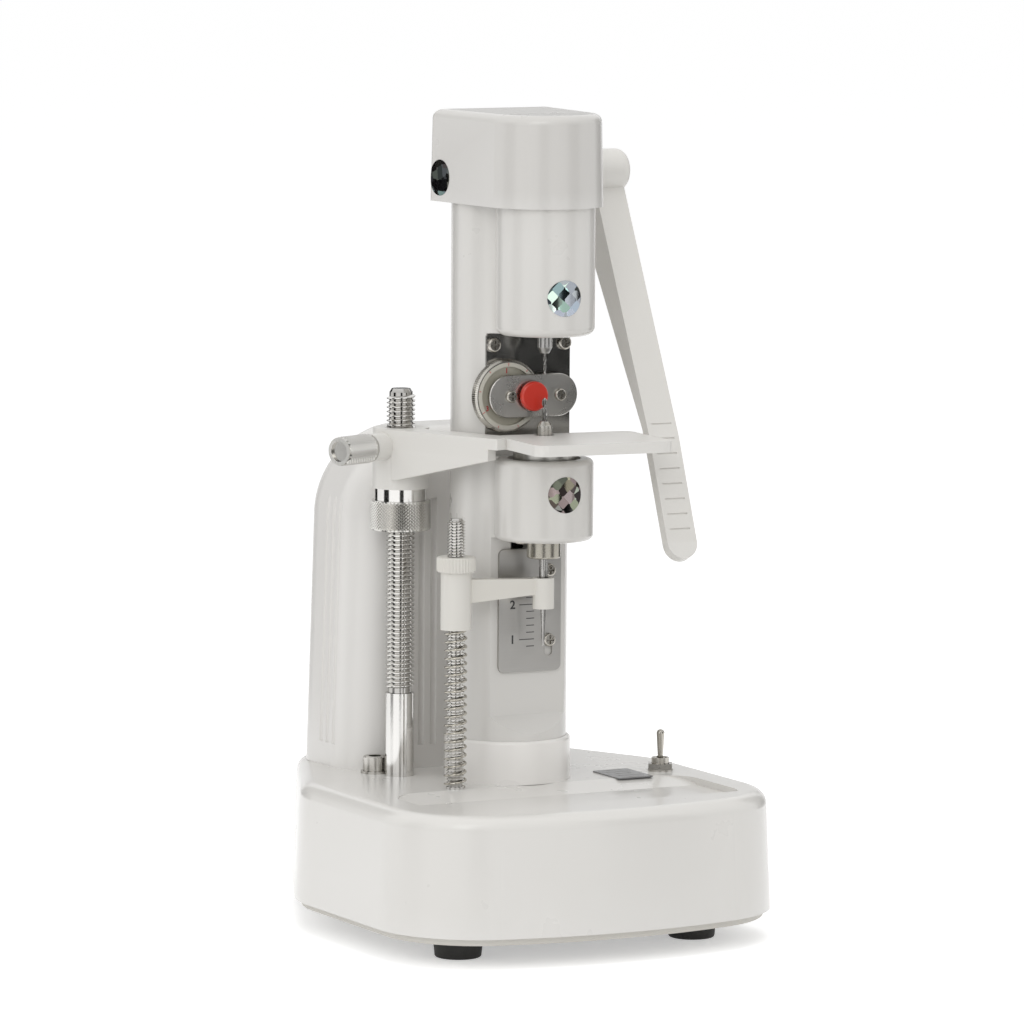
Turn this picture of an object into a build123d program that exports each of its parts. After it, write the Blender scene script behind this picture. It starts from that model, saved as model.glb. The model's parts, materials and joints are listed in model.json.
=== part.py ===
from build123d import *
from math import acos, asin, atan2, cos, degrees, radians, sin, sqrt, tan
import os

# Every size is in millimetres. The column's axis stands at X 0, Y 0, the front faces -Y and the floor is Z 0.

# Fits and clearances
RUN = 0.05
FREE = 0.3
SCREW_FIT = 0.05
CLEAR_FIT = 0.2

# Base
FOOT_H = 7.8
FOOT_R = 8.5
FOOT_TAPER = 0.8
FRONT_FOOT = (44.0, -49.7)
REAR_FOOT = (34.0, 66.0)
FOOT_SCREW_R = 1.5
FOOT_SCREW_HEAD_R = 2.9
FOOT_SCREW_LEN = 16.0
FOOT_RECESS = 4.0
PLATE_T = 2.5
PLATE_INSET = 2.3
SHELL_H = 40.0
SHELL_HALF_WIDTH = 71.3
SHELL_FRONT = 85.7
SHELL_REAR = 85.7
FRONT_BOW = 14.4
FRONT_CORNER_R = 36.0
TAPER_START_Y = 17.0
TAPER_ANGLE = 25.0
TAPER_R = 40.0
REAR_CORNER_R = 20.0
SHELL_WALL = 3.0
SHELL_DRAFT = 2.6
SHELL_ROLL = 5.0
BOSS_R = 5.0
BOSS_BORE = 14.0
WIRE_HOLE_R = 5.0
TRAY_HALF_WIDTH = 56.0
TRAY_FRONT = -60.0
TRAY_BACK = -32.0
TRAY_SLOPE = 12.0
TRAY_DEPTH = 2.2
TRAY_CORNER_R = 12.0

# Heights over the floor that follow from the base
SHELL_Z0 = FOOT_H + PLATE_T
DECK_Z = SHELL_Z0 + SHELL_H
TOP_UNDER = DECK_Z - SHELL_WALL

# Upper and lower motor
MOTOR_R = 12.2
MOTOR_WALL = 1.6
MOTOR_LEN = 28.0
LOWER_MOTOR_LEN = 23.0
MOTOR_RING_R = 10.4
MOTOR_RING_H = 2.0
MOTOR_NOSE_R = 3.5
MOTOR_NOSE_H = 1.2
MOTOR_SCREW_R = 0.95
MOTOR_SCREW_X = 8.5

# Column and its two heads
COLUMN_H = 194.3
COLUMN_R = 19.8
COLUMN_WALL = 3.0
COLUMN_FLAT = 5.2
COLUMN_FLOOR = 8.0
COLUMN_SCREW_R = 2.0
COLUMN_SCREW_CIRCLE_R = 13.4
FRAME_SCREW_R = 1.0
FRAME_SCREW_ANGLE = 33.7
PEDESTAL_WALL = 1.4
PEDESTAL_H = 14.6
HEAD_WALL = 2.1
CUP_GAP = 0.55
UPPER_HEAD_Z = DECK_Z + 151.6
LOWER_HEAD_Z0 = DECK_Z + 83.3
LOWER_HEAD_Z1 = DECK_Z + 110.5
HEAD_EDGE_R = 3.0
LOWER_EDGE_R = 2.0
UPPER_FLAT_CUT = 7.3
LOWER_FLAT_CUT = 5.8
LOWER_FLAT_Z = DECK_Z + 22.9
FLAT_RUN_OUT = 1.2
FRONT_WALL = 3.0
SHELF_T = 4.0
SHELF_HOLE_R = 4.0
SHELF_HOLE_Y = 7.0
LOWER_HEAD_HOLE_R = 6.0
ACCESS_HOLE_R = 3.0
DRILL_STANDOFF = 5.4

# Places round the column that follow from its radius
COLUMN_TOP = DECK_Z + COLUMN_H
COLUMN_BACK_Y = COLUMN_R - COLUMN_FLAT
UPPER_FLAT_Y = UPPER_FLAT_CUT - COLUMN_R
LOWER_FLAT_Y = LOWER_FLAT_CUT - COLUMN_R
DRILL_Y = -COLUMN_R - DRILL_STANDOFF
HEAD_R = MOTOR_R + SCREW_FIT + MOTOR_WALL + CUP_GAP + HEAD_WALL
PEDESTAL_R = COLUMN_R + PEDESTAL_WALL
FRAME_SCREW_X = (COLUMN_R - COLUMN_WALL / 2) * cos(radians(FRAME_SCREW_ANGLE))
FRAME_SCREW_Y = -(COLUMN_R - COLUMN_WALL / 2) * sin(radians(FRAME_SCREW_ANGLE))

# Spindles, chucks and cutters
SPINDLE_TRAVEL = 7.5
SPINDLE_R = 1.15
UPPER_MOTOR_Z = UPPER_HEAD_Z + 10.8
UPPER_CHUCK_R = 2.5
UPPER_CHUCK_Z = UPPER_HEAD_Z - 6.2
UPPER_CHUCK_NOSE_R = 1.4
CHUCK_NOSE_H = 2.0
CHUCK_GRIP = 8.0
UPPER_DRILL_R = 0.5
UPPER_TIP_Z = DECK_Z + 138.2
COLLET_R = 2.6
COLLET_NOSE_R = 1.5
COLLET_NOSE_H = 1.5
COLLET_TOP = DECK_Z + 122.7
LOWER_DRILL_R = 0.85
LOWER_TIP_Z = DECK_Z + 130.5
LOWER_CHUCK_R = 5.7
LOWER_CHUCK_Z = DECK_Z + 77.0
REAMER_SHANK_R = 1.5
REAMER_GRIP = 4.0
REAMER_TIP_Z = DECK_Z + 47.4
REAMER_TIP_R = 0.4
REAMER_SLOPE = 0.0427

# Cap
CAP_H = 30.7
CAP_OVERHANG = 3.5
CAP_SIDE_OVERHANG = 3.2
CAP_BACK_OVERHANG = 1.0
CAP_CORNER_R = 2.0
CAP_WALL = 2.0
CAP_DRAFT = 1.2
CAP_ROLL = 3.0
CAP_Z0 = COLUMN_TOP
CAP_TOP = CAP_Z0 + CAP_H
CAP_FRONT_R = HEAD_R + CAP_OVERHANG
CAP_FRONT_Y = DRILL_Y + 2.0
CAP_REAR_Y = COLUMN_BACK_Y + CAP_BACK_OVERHANG
CAP_REAR_HALF = COLUMN_R + CAP_SIDE_OVERHANG
CAP_SCREW_R = 1.5
CAP_SCREW_HEAD_R = 2.8
CAP_SCREW_LEN = 6.0
CAP_SCREW_SEAT = CAP_REAR_HALF - CAP_WALL - 0.3

# Lever and the arm that it turns
HEAD_PLATE_T = 2.0
PIVOT_Y = COLUMN_BACK_Y - 6.2
PIVOT_Z = COLUMN_TOP + 9.0
SHAFT_R = 2.5
BEARING_X0 = 9.0
BEARING_X1 = 17.0
BUSH_WALL = 1.0
BUSH_LEN = 4.0
DRIVE_HUB_WALL = 1.6
DRIVE_ARM_LEN = 25.0
DRIVE_ARM_T = 6.0
PIN_R = 2.0
FORK_WALL = 2.4
GRUB_R = 1.25
LEVER_HUB_R = 7.3
LEVER_HUB_ROLL = 3.5
LEVER_X0 = 34.2
LEVER_X1 = 45.4
LEVER_ANGLE = 25.6
LEVER_LEN = 138.9
LEVER_KNEE = 97.0
LEVER_KNEE_RISE = 0.7
LEVER_FRONT = 1.6
LEVER_BACK = 9.4
LEVER_TIP_BEND = 2.7
LEVER_TIP_T = 3.6
LEVER_GRUB_R = 1.5
LEVER_GRUB_X = 28.0
GRIP_LINES = 8
GRIP_FIRST = 92.4
GRIP_PITCH = 5.2
GRIP_W = 0.55
GRIP_DEPTH = 0.35
GRIP_LEN = 7.5

# Motor carriage, its rods and return springs
ROD_X = 8.0
ROD_Y = -3.0
ROD_R = 2.0
ROD_BOSS_WALL = 1.8
CUP_TOP_T = 2.0
CUP_SKIRT = 0.4
EAR_T = 3.0
EAR_GAP = 0.5
EAR_HALF = 4.0
CARRIAGE_SCREW_R = 1.5
RETURN_SPRING_R = 3.0
RETURN_WIRE_R = 0.3
RETURN_PITCH = 2.2

# Guide plate, dial and edge stop
GUIDE_PLATE_W = 31.4
GUIDE_PLATE_Z0 = DECK_Z + 116.2
GUIDE_PLATE_Z1 = UPPER_HEAD_Z - FREE
GUIDE_PLATE_T = 1.0
GUIDE_SCREW_X = 13.3
GUIDE_SCREW_Z = GUIDE_PLATE_Z1 - 3.7
SMALL_SCREW_R = 1.25
SMALL_HOLE_R = 1.4
DIAL_X = -9.3
DIAL_Z = DECK_Z + 130.7
DIAL_R = 12.3
DIAL_T = 3.2
BRACKET_LEN = 33.0
BRACKET_H = 14.3
BRACKET_X = -0.8
BRACKET_T = 1.5
BRACKET_SCREW_X = 9.0
BUTTON_R = 5.0
BUTTON_X = -1.6
BUTTON_HEAD_T = 1.6
BUTTON_STEM_R = 2.0
STOP_TRAVEL = 1.2
SPACER_R = 2.5
SPACER_LEN = 4.0

# Scale plate
SCALE_W = 23.4
SCALE_Z0 = DECK_Z + 37.5
SCALE_Z1 = DECK_Z + 79.0
SCALE_T = 1.0
SCALE_X = 0.4
SCALE_CORNER_R = 2.0
SCALE_SCREW_X = 7.5
SCALE_SCREW_TOP = SCALE_Z1 - 7.6
SCALE_SCREW_LOW = SCALE_Z0 + 10.3
SCALE_SLOT = 4.8

# Height-adjustable table
POST_X = -31.6
POST_Y = 18.0
POST_R = 4.9
POST_TOP = DECK_Z + 131.2
POST_TAIL = 12.0
NUT_R = 10.2
NUT_H = 10.0
NUT_Z = DECK_Z + 83.6
COLLAR_R = 8.8
COLLAR_H = 4.1
HUB_R = 9.5
HUB_TOP = DECK_Z + 118.1
TABLE_T = 3.7
TABLE_TURN = -4.5
TABLE_LEFT = 16.5
TABLE_RIGHT = 32.6
TABLE_FORWARD = 33.5
TABLE_BACK = 3.6
TABLE_CORNER_R = 4.0
TABLE_HOLE_R = 3.4
ARM_ANGLE = 22.6
ARM_LEN = 50.0
ARM_RIGHT = 0.9
WEB_T = 4.0
SKIRT_START = 4.0
SKIRT_LEN = 46.0
SKIRT_LOW = 7.5
SKIRT_HIGH = 16.8
EAR_R = 4.7
THUMB_R = 5.0
THUMB_SHANK_R = 2.5
THUMB_REACH = 16.6
THUMB_LEN = 15.0
THUMB_Z = HUB_TOP - 5.9

# Diameter stop on its sprung post
STOP_POST_X = -28.5
STOP_POST_Y = -17.0
STOP_POST_R = 3.0
STOP_POST_TOP = DECK_Z + 90.7
STOP_POST_TAIL = 8.0
STOP_NUT_R = 6.55
STOP_NUT_H = 4.9
SLEEVE_WALL = 2.1
SLEEVE_Z0 = DECK_Z + 53.5
SLEEVE_Z1 = DECK_Z + 72.9
STOP_ARM_TOP = (0.0, 0.2)
STOP_ARM_LOW = (8.4, 5.2)
STOP_ARM_T = 3.4
STOP_TIP_R = 3.6
STOP_TIP_Z0 = DECK_Z + 60.0
STOP_TIP_Z1 = DECK_Z + 70.3
STOP_TIP_GAP = 0.5
SPRING_GAP = 0.5
SPRING_WIRE_R = 0.36
SPRING_PITCH = 2.8

# Nuts under the deck and the socket screw beside the post
POST_NUT_WALL = 3.0
STOP_NUT_WALL = 2.0
POST_NUT_H = 8.0
STOP_POST_NUT_H = 5.0
POST_SCREW_GAP = 4.86
POST_SCREW_ANGLE = 122.0
POST_SCREW_R = 2.0
POST_SCREW_HEAD_R = 4.0
POST_SCREW_HEAD_H = 5.0
POST_WASHER_R = 4.8
POST_WASHER_T = 0.8

# Rear housing and what is in it
HOUSING_HALF = 44.6
HOUSING_FRONT = 29.5
HOUSING_REAR = 75.0
HOUSING_H = 115.2
HOUSING_DRAFT = 1.8
HOUSING_WALL = 2.6
HOUSING_ROLL = 15.5
HOUSING_SHOULDER_R = 31.0
HOUSING_BOSS_R = 4.2
HOUSING_BOSS_H = 12.0
HOUSING_SCREW_R = 1.5
HOUSING_SCREW_STEP = 6.5
FLUTE_R = 1.3
FLUTE_BITE = 0.85
FLUTE_PITCH = 4.6
FLUTES = 4
FLUTE_FOOT = 8.0
FLUTE_HEAD = 23.0
SIDE_FLUTE_SHIFT = -7.0
FRONT_FLUTE_X = 20.0
HOUSING_WIRE_R = 6.0
GLAND_R = 6.0
GLAND_BORE_R = 3.5
GLAND_Z = DECK_Z + 57.7
GLAND_PAD = 22.0
GLAND_FLATS = 16.0
PAD_DEPTH = 7.0
CORE_TOP = 38.0
BOARD_T = 1.6
HOUSING_MID_Y = (HOUSING_FRONT + HOUSING_REAR) / 2

# Switch and the label beside it
SWITCH_X = 53.0
SWITCH_Y = -11.0
SWITCH_BODY_X = 8.0
SWITCH_BODY_Y = 13.0
SWITCH_BODY_H = 10.0
SWITCH_BUSH_R = 3.0
SWITCH_BUSH_TOP = DECK_Z + 4.6
SWITCH_PIVOT_Z = DECK_Z + 2.2
SWITCH_NUT_FLATS = 8.0
SWITCH_WASHER_T = 0.6
TAG_PITCH = 4.7
BAT_LEN = 9.6
BAT_BALL_R = 1.9
BAT_PIN_R = 0.5
BAT_PIN_REACH = 2.4
BAT_TIP_R = 1.35
LABEL_X = 37.2
LABEL_Y = -13.5
LABEL_W = 13.4
LABEL_D = 19.0
LABEL_T = 0.4

# Round foil labels
DOT_R = 6.0
DOT_T = 0.15
UPPER_DOT_Z = UPPER_HEAD_Z + 13.2
LOWER_DOT_Z = LOWER_HEAD_Z1 - 10.9
UPPER_DOT_TURN = -4.4
LOWER_DOT_TURN = -2.0
CAP_DOT_DROP = 1.0

# Values that several pieces share
DRIVE_LIFT = degrees(asin(SPINDLE_TRAVEL / 2 / DRIVE_ARM_LEN))
DRIVE_HUB_R = SHAFT_R + DRIVE_HUB_WALL
BUSH_R = SHAFT_R + BUSH_WALL
PIN_Z = PIVOT_Z + SPINDLE_TRAVEL / 2
PIN_Y = PIVOT_Y - DRIVE_ARM_LEN * cos(radians(DRIVE_LIFT))
HUB_Z0 = NUT_Z + NUT_H + COLLAR_H
CAM_R = BUTTON_X - DIAL_X
SLEEVE_R = STOP_POST_R + RUN + SLEEVE_WALL
SPRING_R = STOP_POST_R + SPRING_GAP + SPRING_WIRE_R
POST_SCREW_X = POST_X + (POST_R + POST_SCREW_GAP) * cos(radians(POST_SCREW_ANGLE))
POST_SCREW_Y = POST_Y + (POST_R + POST_SCREW_GAP) * sin(radians(POST_SCREW_ANGLE))
CUP_R = MOTOR_R + SCREW_FIT + MOTOR_WALL
CUP_Z0 = UPPER_MOTOR_Z - CUP_SKIRT
CUP_Z1 = UPPER_MOTOR_Z + MOTOR_LEN + CUP_TOP_T
GUIDE_FRONT_Y = UPPER_FLAT_Y - GUIDE_PLATE_T
BRACKET_FRONT_Y = GUIDE_FRONT_Y - SPACER_LEN - BRACKET_T
SCALE_FRONT_Y = LOWER_FLAT_Y - SCALE_T


def rod(r, z0, z1, x=0.0, y=0.0):
    return Pos(x, y, (z0 + z1) / 2) * Cylinder(r, z1 - z0)


def taper_rod(r0, r1, z0, z1, x=0.0, y=0.0):
    return Pos(x, y, (z0 + z1) / 2) * Cone(r0, r1, z1 - z0)


def rod_x(r, x0, x1, y, z):
    return Pos((x0 + x1) / 2, y, z) * Rot(0, 90, 0) * Cylinder(r, x1 - x0)


def rod_y(r, y0, y1, x, z):
    return Pos(x, (y0 + y1) / 2, z) * Rot(90, 0, 0) * Cylinder(r, y1 - y0)


def block(x0, x1, y0, y1, z0, z1):
    return Pos((x0 + x1) / 2, (y0 + y1) / 2, (z0 + z1) / 2) * Box(x1 - x0, y1 - y0, z1 - z0)


def d_rod(r, back_y, z0, z1):
    """An upright bar round the column's axis with a flat back."""
    return rod(r, z0, z1) - block(-r - 1, r + 1, back_y, r + 1, z0, z1)


def hexagon(flats, z0, z1, x=0.0, y=0.0):
    return Pos(x, y, z0) * extrude(RegularPolygon(flats / 2, 6, major_radius=False), z1 - z0)


def top_edges(solid):
    return solid.faces().sort_by(Axis.Z)[-1].edges()


def bottom_edges(solid):
    return solid.faces().sort_by(Axis.Z)[0].edges()


def front_edges(solid):
    return solid.faces().sort_by(Axis.Y)[0].edges()


def back_edges(solid):
    return solid.faces().sort_by(Axis.Y)[-1].edges()


def pan_screw(shank_r, head_r, head_h, length):
    """A cross-recessed screw whose head seats on Z 0 and whose shank points down."""
    head = rod(head_r, 0, head_h)
    head = fillet(top_edges(head), head_h * 0.45)
    screw = head + rod(shank_r, -length, 0)
    half_w = head_r * 0.14
    reach = head_r * 0.6
    slot = block(-reach, reach, -half_w, half_w, head_h * 0.45, head_h)
    for turn in (0, 90):
        screw -= Rot(0, 0, turn) * slot
    return screw


def socket_screw(shank_r, head_r, head_h, length):
    """A hexagon-socket cap screw whose head seats on Z 0."""
    head = rod(head_r, 0, head_h)
    head = chamfer(top_edges(head), head_r * 0.08)
    return head + rod(shank_r, -length, 0) - hexagon(head_r, head_h * 0.45, head_h)


def grub_screw(r, length):
    """A headless screw with a hexagon socket at Z 0, pointing down."""
    return rod(r, -length, 0) - hexagon(r, -length * 0.4, 0)


def at_front(x, y, z):
    """Turns a screw so that its head faces -Y."""
    return Pos(x, y, z) * Rot(90, 0, 0)


def base_outline(inset=0.0):
    """The base's plan: bowed front, straight sides, then a taper to the rear."""
    side = SHELL_HALF_WIDTH
    front_side_y = FRONT_BOW - SHELL_FRONT
    rear_half = side - (SHELL_REAR - TAPER_START_Y) * tan(radians(TAPER_ANGLE))
    front = ThreePointArc((-side, front_side_y), (0, -SHELL_FRONT), (side, front_side_y))
    right = Line((side, front_side_y), (side, TAPER_START_Y))
    right_rear = Line((side, TAPER_START_Y), (rear_half, SHELL_REAR))
    rear = Line((rear_half, SHELL_REAR), (-rear_half, SHELL_REAR))
    left_rear = Line((-rear_half, SHELL_REAR), (-side, TAPER_START_Y))
    left = Line((-side, TAPER_START_Y), (-side, front_side_y))
    face = make_face([front, right, right_rear, rear, left_rear, left])
    face = fillet(face.vertices().filter_by(lambda v: v.Y < 0), FRONT_CORNER_R)
    face = fillet(face.vertices().filter_by(lambda v: abs(v.Y - TAPER_START_Y) < 0.01), TAPER_R)
    face = fillet(face.vertices().filter_by(lambda v: abs(v.Y - SHELL_REAR) < 0.01), REAR_CORNER_R)
    if inset:
        face = offset(face, -inset)
    return face


def foot_places():
    return [(side * x, y) for x, y in (FRONT_FOOT, REAR_FOOT) for side in (-1, 1)]


def column_screw_places():
    reach = COLUMN_SCREW_CIRCLE_R
    return [(reach * cos(radians(a)), reach * sin(radians(a))) for a in (45, 135, 225, 315)]


def housing_screw_places():
    reach = HOUSING_HALF - HOUSING_WALL - HOUSING_BOSS_R + 1.2
    return [(side * reach, HOUSING_MID_Y + step * HOUSING_SCREW_STEP) for side in (-1, 1) for step in (-1, 1)]


def base_shell_part():
    outer = extrude(Pos(0, 0, SHELL_Z0) * base_outline(), SHELL_H, taper=SHELL_DRAFT)
    outer = fillet(top_edges(outer), SHELL_ROLL)
    inner = extrude(Pos(0, 0, SHELL_Z0) * base_outline(SHELL_WALL), SHELL_H - SHELL_WALL, taper=SHELL_DRAFT)
    shell = outer - inner
    for x, y in foot_places():
        shell += rod(BOSS_R, SHELL_Z0, TOP_UNDER, x, y)
        shell -= rod(FOOT_SCREW_R + SCREW_FIT, SHELL_Z0, SHELL_Z0 + BOSS_BORE, x, y)
    shell -= tray_cutter()
    for x, y in column_screw_places():
        shell -= rod(COLUMN_SCREW_R + CLEAR_FIT, TOP_UNDER, DECK_Z, x, y)
    shell -= rod(WIRE_HOLE_R, TOP_UNDER, DECK_Z)
    for x, y in housing_screw_places():
        shell -= rod(HOUSING_SCREW_R + CLEAR_FIT, TOP_UNDER, DECK_Z, x, y)
    shell -= rod(HOUSING_WIRE_R, TOP_UNDER, DECK_Z, 0, HOUSING_MID_Y)
    shell -= rod(POST_R + SCREW_FIT, TOP_UNDER, DECK_Z, POST_X, POST_Y)
    shell -= rod(STOP_POST_R + SCREW_FIT, TOP_UNDER, DECK_Z, STOP_POST_X, STOP_POST_Y)
    shell -= rod(SWITCH_BUSH_R + SCREW_FIT, TOP_UNDER, DECK_Z, SWITCH_X, SWITCH_Y)
    return shell - rod(POST_SCREW_R + SCREW_FIT, TOP_UNDER, DECK_Z, POST_SCREW_X, POST_SCREW_Y)


def tray_cutter():
    """The shallow tray in the deck, steep at the front and sloped at the back."""
    bottom = DECK_Z - TRAY_DEPTH
    back = TRAY_BACK + TRAY_SLOPE
    front = TRAY_FRONT - 4
    side = Polyline(
        (front, DECK_Z + 1),
        (TRAY_FRONT, bottom),
        (TRAY_BACK, bottom),
        (back, DECK_Z),
        (back, DECK_Z + 1),
        close=True,
    )
    tray = extrude(Plane.YZ * make_face(side), TRAY_HALF_WIDTH, both=True)
    plan = RectangleRounded(2 * TRAY_HALF_WIDTH, back - front + 4, TRAY_CORNER_R)
    return tray & Pos(0, (back + front - 4) / 2, bottom) * extrude(plan, TRAY_DEPTH + 1)


def base_plate_part():
    plate = extrude(Pos(0, 0, FOOT_H) * base_outline(PLATE_INSET), PLATE_T)
    plate = fillet(bottom_edges(plate), 0.8)
    for x, y in foot_places():
        plate -= rod(FOOT_SCREW_R + CLEAR_FIT, FOOT_H, SHELL_Z0, x, y)
    return plate


def rubber_feet_part():
    feet = []
    for x, y in foot_places():
        foot = taper_rod(FOOT_R - FOOT_TAPER, FOOT_R, 0, FOOT_H, x, y)
        foot = fillet(bottom_edges(foot), 0.8)
        foot -= rod(FOOT_SCREW_HEAD_R + 0.5, 0, FOOT_RECESS, x, y)
        foot -= rod(FOOT_SCREW_R + CLEAR_FIT, 0, FOOT_H, x, y)
        feet.append(foot)
    return Compound(feet)


def foot_screws_part():
    screw = pan_screw(FOOT_SCREW_R, FOOT_SCREW_HEAD_R, 2.0, FOOT_SCREW_LEN)
    return Compound([Pos(x, y, FOOT_RECESS) * Rot(180, 0, 0) * screw for x, y in foot_places()])


def column_outside():
    """The column with its two heads, its front flats and no bores."""
    upper = rod(HEAD_R, UPPER_HEAD_Z, COLUMN_TOP, 0, DRILL_Y)
    upper = fillet(bottom_edges(upper), HEAD_EDGE_R)
    lower = rod(HEAD_R, LOWER_HEAD_Z0, LOWER_HEAD_Z1, 0, DRILL_Y)
    lower = fillet(top_edges(lower) + bottom_edges(lower), LOWER_EDGE_R)
    body = d_rod(COLUMN_R, COLUMN_BACK_Y, DECK_Z, COLUMN_TOP) + upper + lower
    ahead = -COLUMN_R - 1
    body -= block(-COLUMN_R, COLUMN_R, ahead, UPPER_FLAT_Y, LOWER_HEAD_Z1, UPPER_HEAD_Z)
    run_out = (COLUMN_R + LOWER_FLAT_Y) * FLAT_RUN_OUT
    lower_flat = Polyline(
        (LOWER_FLAT_Y, LOWER_HEAD_Z0),
        (LOWER_FLAT_Y, LOWER_FLAT_Z),
        (ahead, LOWER_FLAT_Z - run_out),
        (ahead, LOWER_HEAD_Z0),
        close=True,
    )
    return body - extrude(Plane.YZ * make_face(lower_flat), COLUMN_R, both=True)


def column_part():
    body = column_outside()
    shelf_z = UPPER_HEAD_Z - SHELF_T
    bore_r = COLUMN_R - COLUMN_WALL
    inner_front = UPPER_FLAT_Y + FRONT_WALL
    bore_back = COLUMN_BACK_Y - COLUMN_WALL
    bore = d_rod(bore_r, bore_back, DECK_Z + COLUMN_FLOOR, shelf_z)
    body -= bore - block(-COLUMN_R, COLUMN_R, -COLUMN_R, inner_front, DECK_Z, UPPER_HEAD_Z)
    body -= d_rod(bore_r, bore_back, UPPER_HEAD_Z, COLUMN_TOP)
    body -= rod(HEAD_R - HEAD_WALL, UPPER_HEAD_Z, COLUMN_TOP, 0, DRILL_Y)
    body -= rod(WIRE_HOLE_R, DECK_Z, DECK_Z + COLUMN_FLOOR)
    body -= rod(SHELF_HOLE_R, shelf_z, UPPER_HEAD_Z, 0, SHELF_HOLE_Y)
    for side in (-1, 1):
        body -= rod(ROD_R + SCREW_FIT, shelf_z + 1, UPPER_HEAD_Z, side * ROD_X, ROD_Y)
        screw_bore = rod(FRAME_SCREW_R + SCREW_FIT, COLUMN_TOP - 10, COLUMN_TOP)
        body -= Pos(side * FRAME_SCREW_X, FRAME_SCREW_Y) * screw_bore
    for x, y in column_screw_places():
        body -= rod(COLUMN_SCREW_R + SCREW_FIT, DECK_Z, DECK_Z + COLUMN_FLOOR - 1.5, x, y)
    body -= rod(MOTOR_R + SCREW_FIT, LOWER_HEAD_Z0 + FRONT_WALL, LOWER_HEAD_Z1, 0, DRILL_Y)
    body -= rod(LOWER_HEAD_HOLE_R, LOWER_HEAD_Z0, LOWER_HEAD_Z1, 0, DRILL_Y)
    body -= block(-4, 4, DRILL_Y, inner_front + 1, LOWER_HEAD_Z0 + 8, LOWER_HEAD_Z1 - 5)
    for side in (-1, 1):
        body -= rod(MOTOR_SCREW_R + 0.15, LOWER_HEAD_Z0, LOWER_HEAD_Z1, side * MOTOR_SCREW_X, DRILL_Y)
    head_front = DRILL_Y - HEAD_R - 1
    body -= rod_y(CARRIAGE_SCREW_R + SCREW_FIT, head_front, DRILL_Y, 0, LOWER_DOT_Z)
    body -= rod_y(ACCESS_HOLE_R, head_front, DRILL_Y, 0, UPPER_DOT_Z)
    wire_slot = block(-6.5, 0.5, LOWER_FLAT_Y - 1, inner_front + 1, SCALE_Z1 - 0.5, LOWER_HEAD_Z0 - 0.6)
    body -= wire_slot
    tapped_r = SMALL_SCREW_R + SCREW_FIT
    for x, z in guide_screw_places():
        body -= rod_y(tapped_r, UPPER_FLAT_Y - 1, UPPER_FLAT_Y + 6, x, z)
    for x in (DIAL_X, BRACKET_SCREW_X):
        body -= rod_y(tapped_r, UPPER_FLAT_Y - 1, inner_front, x, DIAL_Z)
    for z in scale_screw_heights():
        body -= rod_y(tapped_r, LOWER_FLAT_Y - 1, inner_front, SCALE_SCREW_X, z)
    return body


def pedestal_part():
    ring = rod(PEDESTAL_R, DECK_Z, DECK_Z + PEDESTAL_H)
    ring = fillet(top_edges(ring), PEDESTAL_WALL * 0.85)
    return ring - d_rod(COLUMN_R + SCREW_FIT, COLUMN_BACK_Y + SCREW_FIT, DECK_Z, DECK_Z + PEDESTAL_H)


def column_screws_part():
    screw = pan_screw(COLUMN_SCREW_R, 3.8, 2.6, SHELL_WALL + 6.0)
    return Compound([Pos(x, y, TOP_UNDER) * Rot(180, 0, 0) * screw for x, y in column_screw_places()])


def cap_plan(inset=0.0):
    """A round front whose sides spread a little to the square back."""
    r = CAP_FRONT_R - inset
    rear_x, rear_y = CAP_REAR_HALF - inset, CAP_REAR_Y - inset
    reach = sqrt(rear_x**2 + (rear_y - CAP_FRONT_Y) ** 2)
    touch = atan2(rear_y - CAP_FRONT_Y, rear_x) - acos(r / reach)
    side_x, side_y = r * cos(touch), CAP_FRONT_Y + r * sin(touch)
    front = ThreePointArc((-side_x, side_y), (0, CAP_FRONT_Y - r), (side_x, side_y))
    right = Line((side_x, side_y), (rear_x, rear_y))
    rear = Line((rear_x, rear_y), (-rear_x, rear_y))
    left = Line((-rear_x, rear_y), (-side_x, side_y))
    face = make_face([front, right, rear, left])
    corners = face.vertices().filter_by(lambda v: abs(v.Y - rear_y) < 0.01)
    return fillet(corners, max(CAP_CORNER_R - inset, 1.0))


def cap_block(inset, top_z):
    return extrude(Pos(0, 0, CAP_Z0) * cap_plan(inset), top_z - CAP_Z0, taper=CAP_DRAFT)


def cap_outer(grow=0.0):
    return fillet(top_edges(cap_block(-grow, CAP_TOP + grow)), CAP_ROLL)


def top_cap_part():
    cap = cap_outer() - cap_block(CAP_WALL, CAP_TOP - CAP_WALL)
    outside = CAP_REAR_HALF + 2
    cap -= rod_x(SHAFT_R + FREE, 0, outside, PIVOT_Y, PIVOT_Z)
    cap -= rod_x(CAP_SCREW_R + SCREW_FIT, -outside, 0, PIVOT_Y, PIVOT_Z)
    return cap - rod_x(CAP_SCREW_HEAD_R + CLEAR_FIT, -outside, -CAP_SCREW_SEAT, PIVOT_Y, PIVOT_Z)


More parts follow.
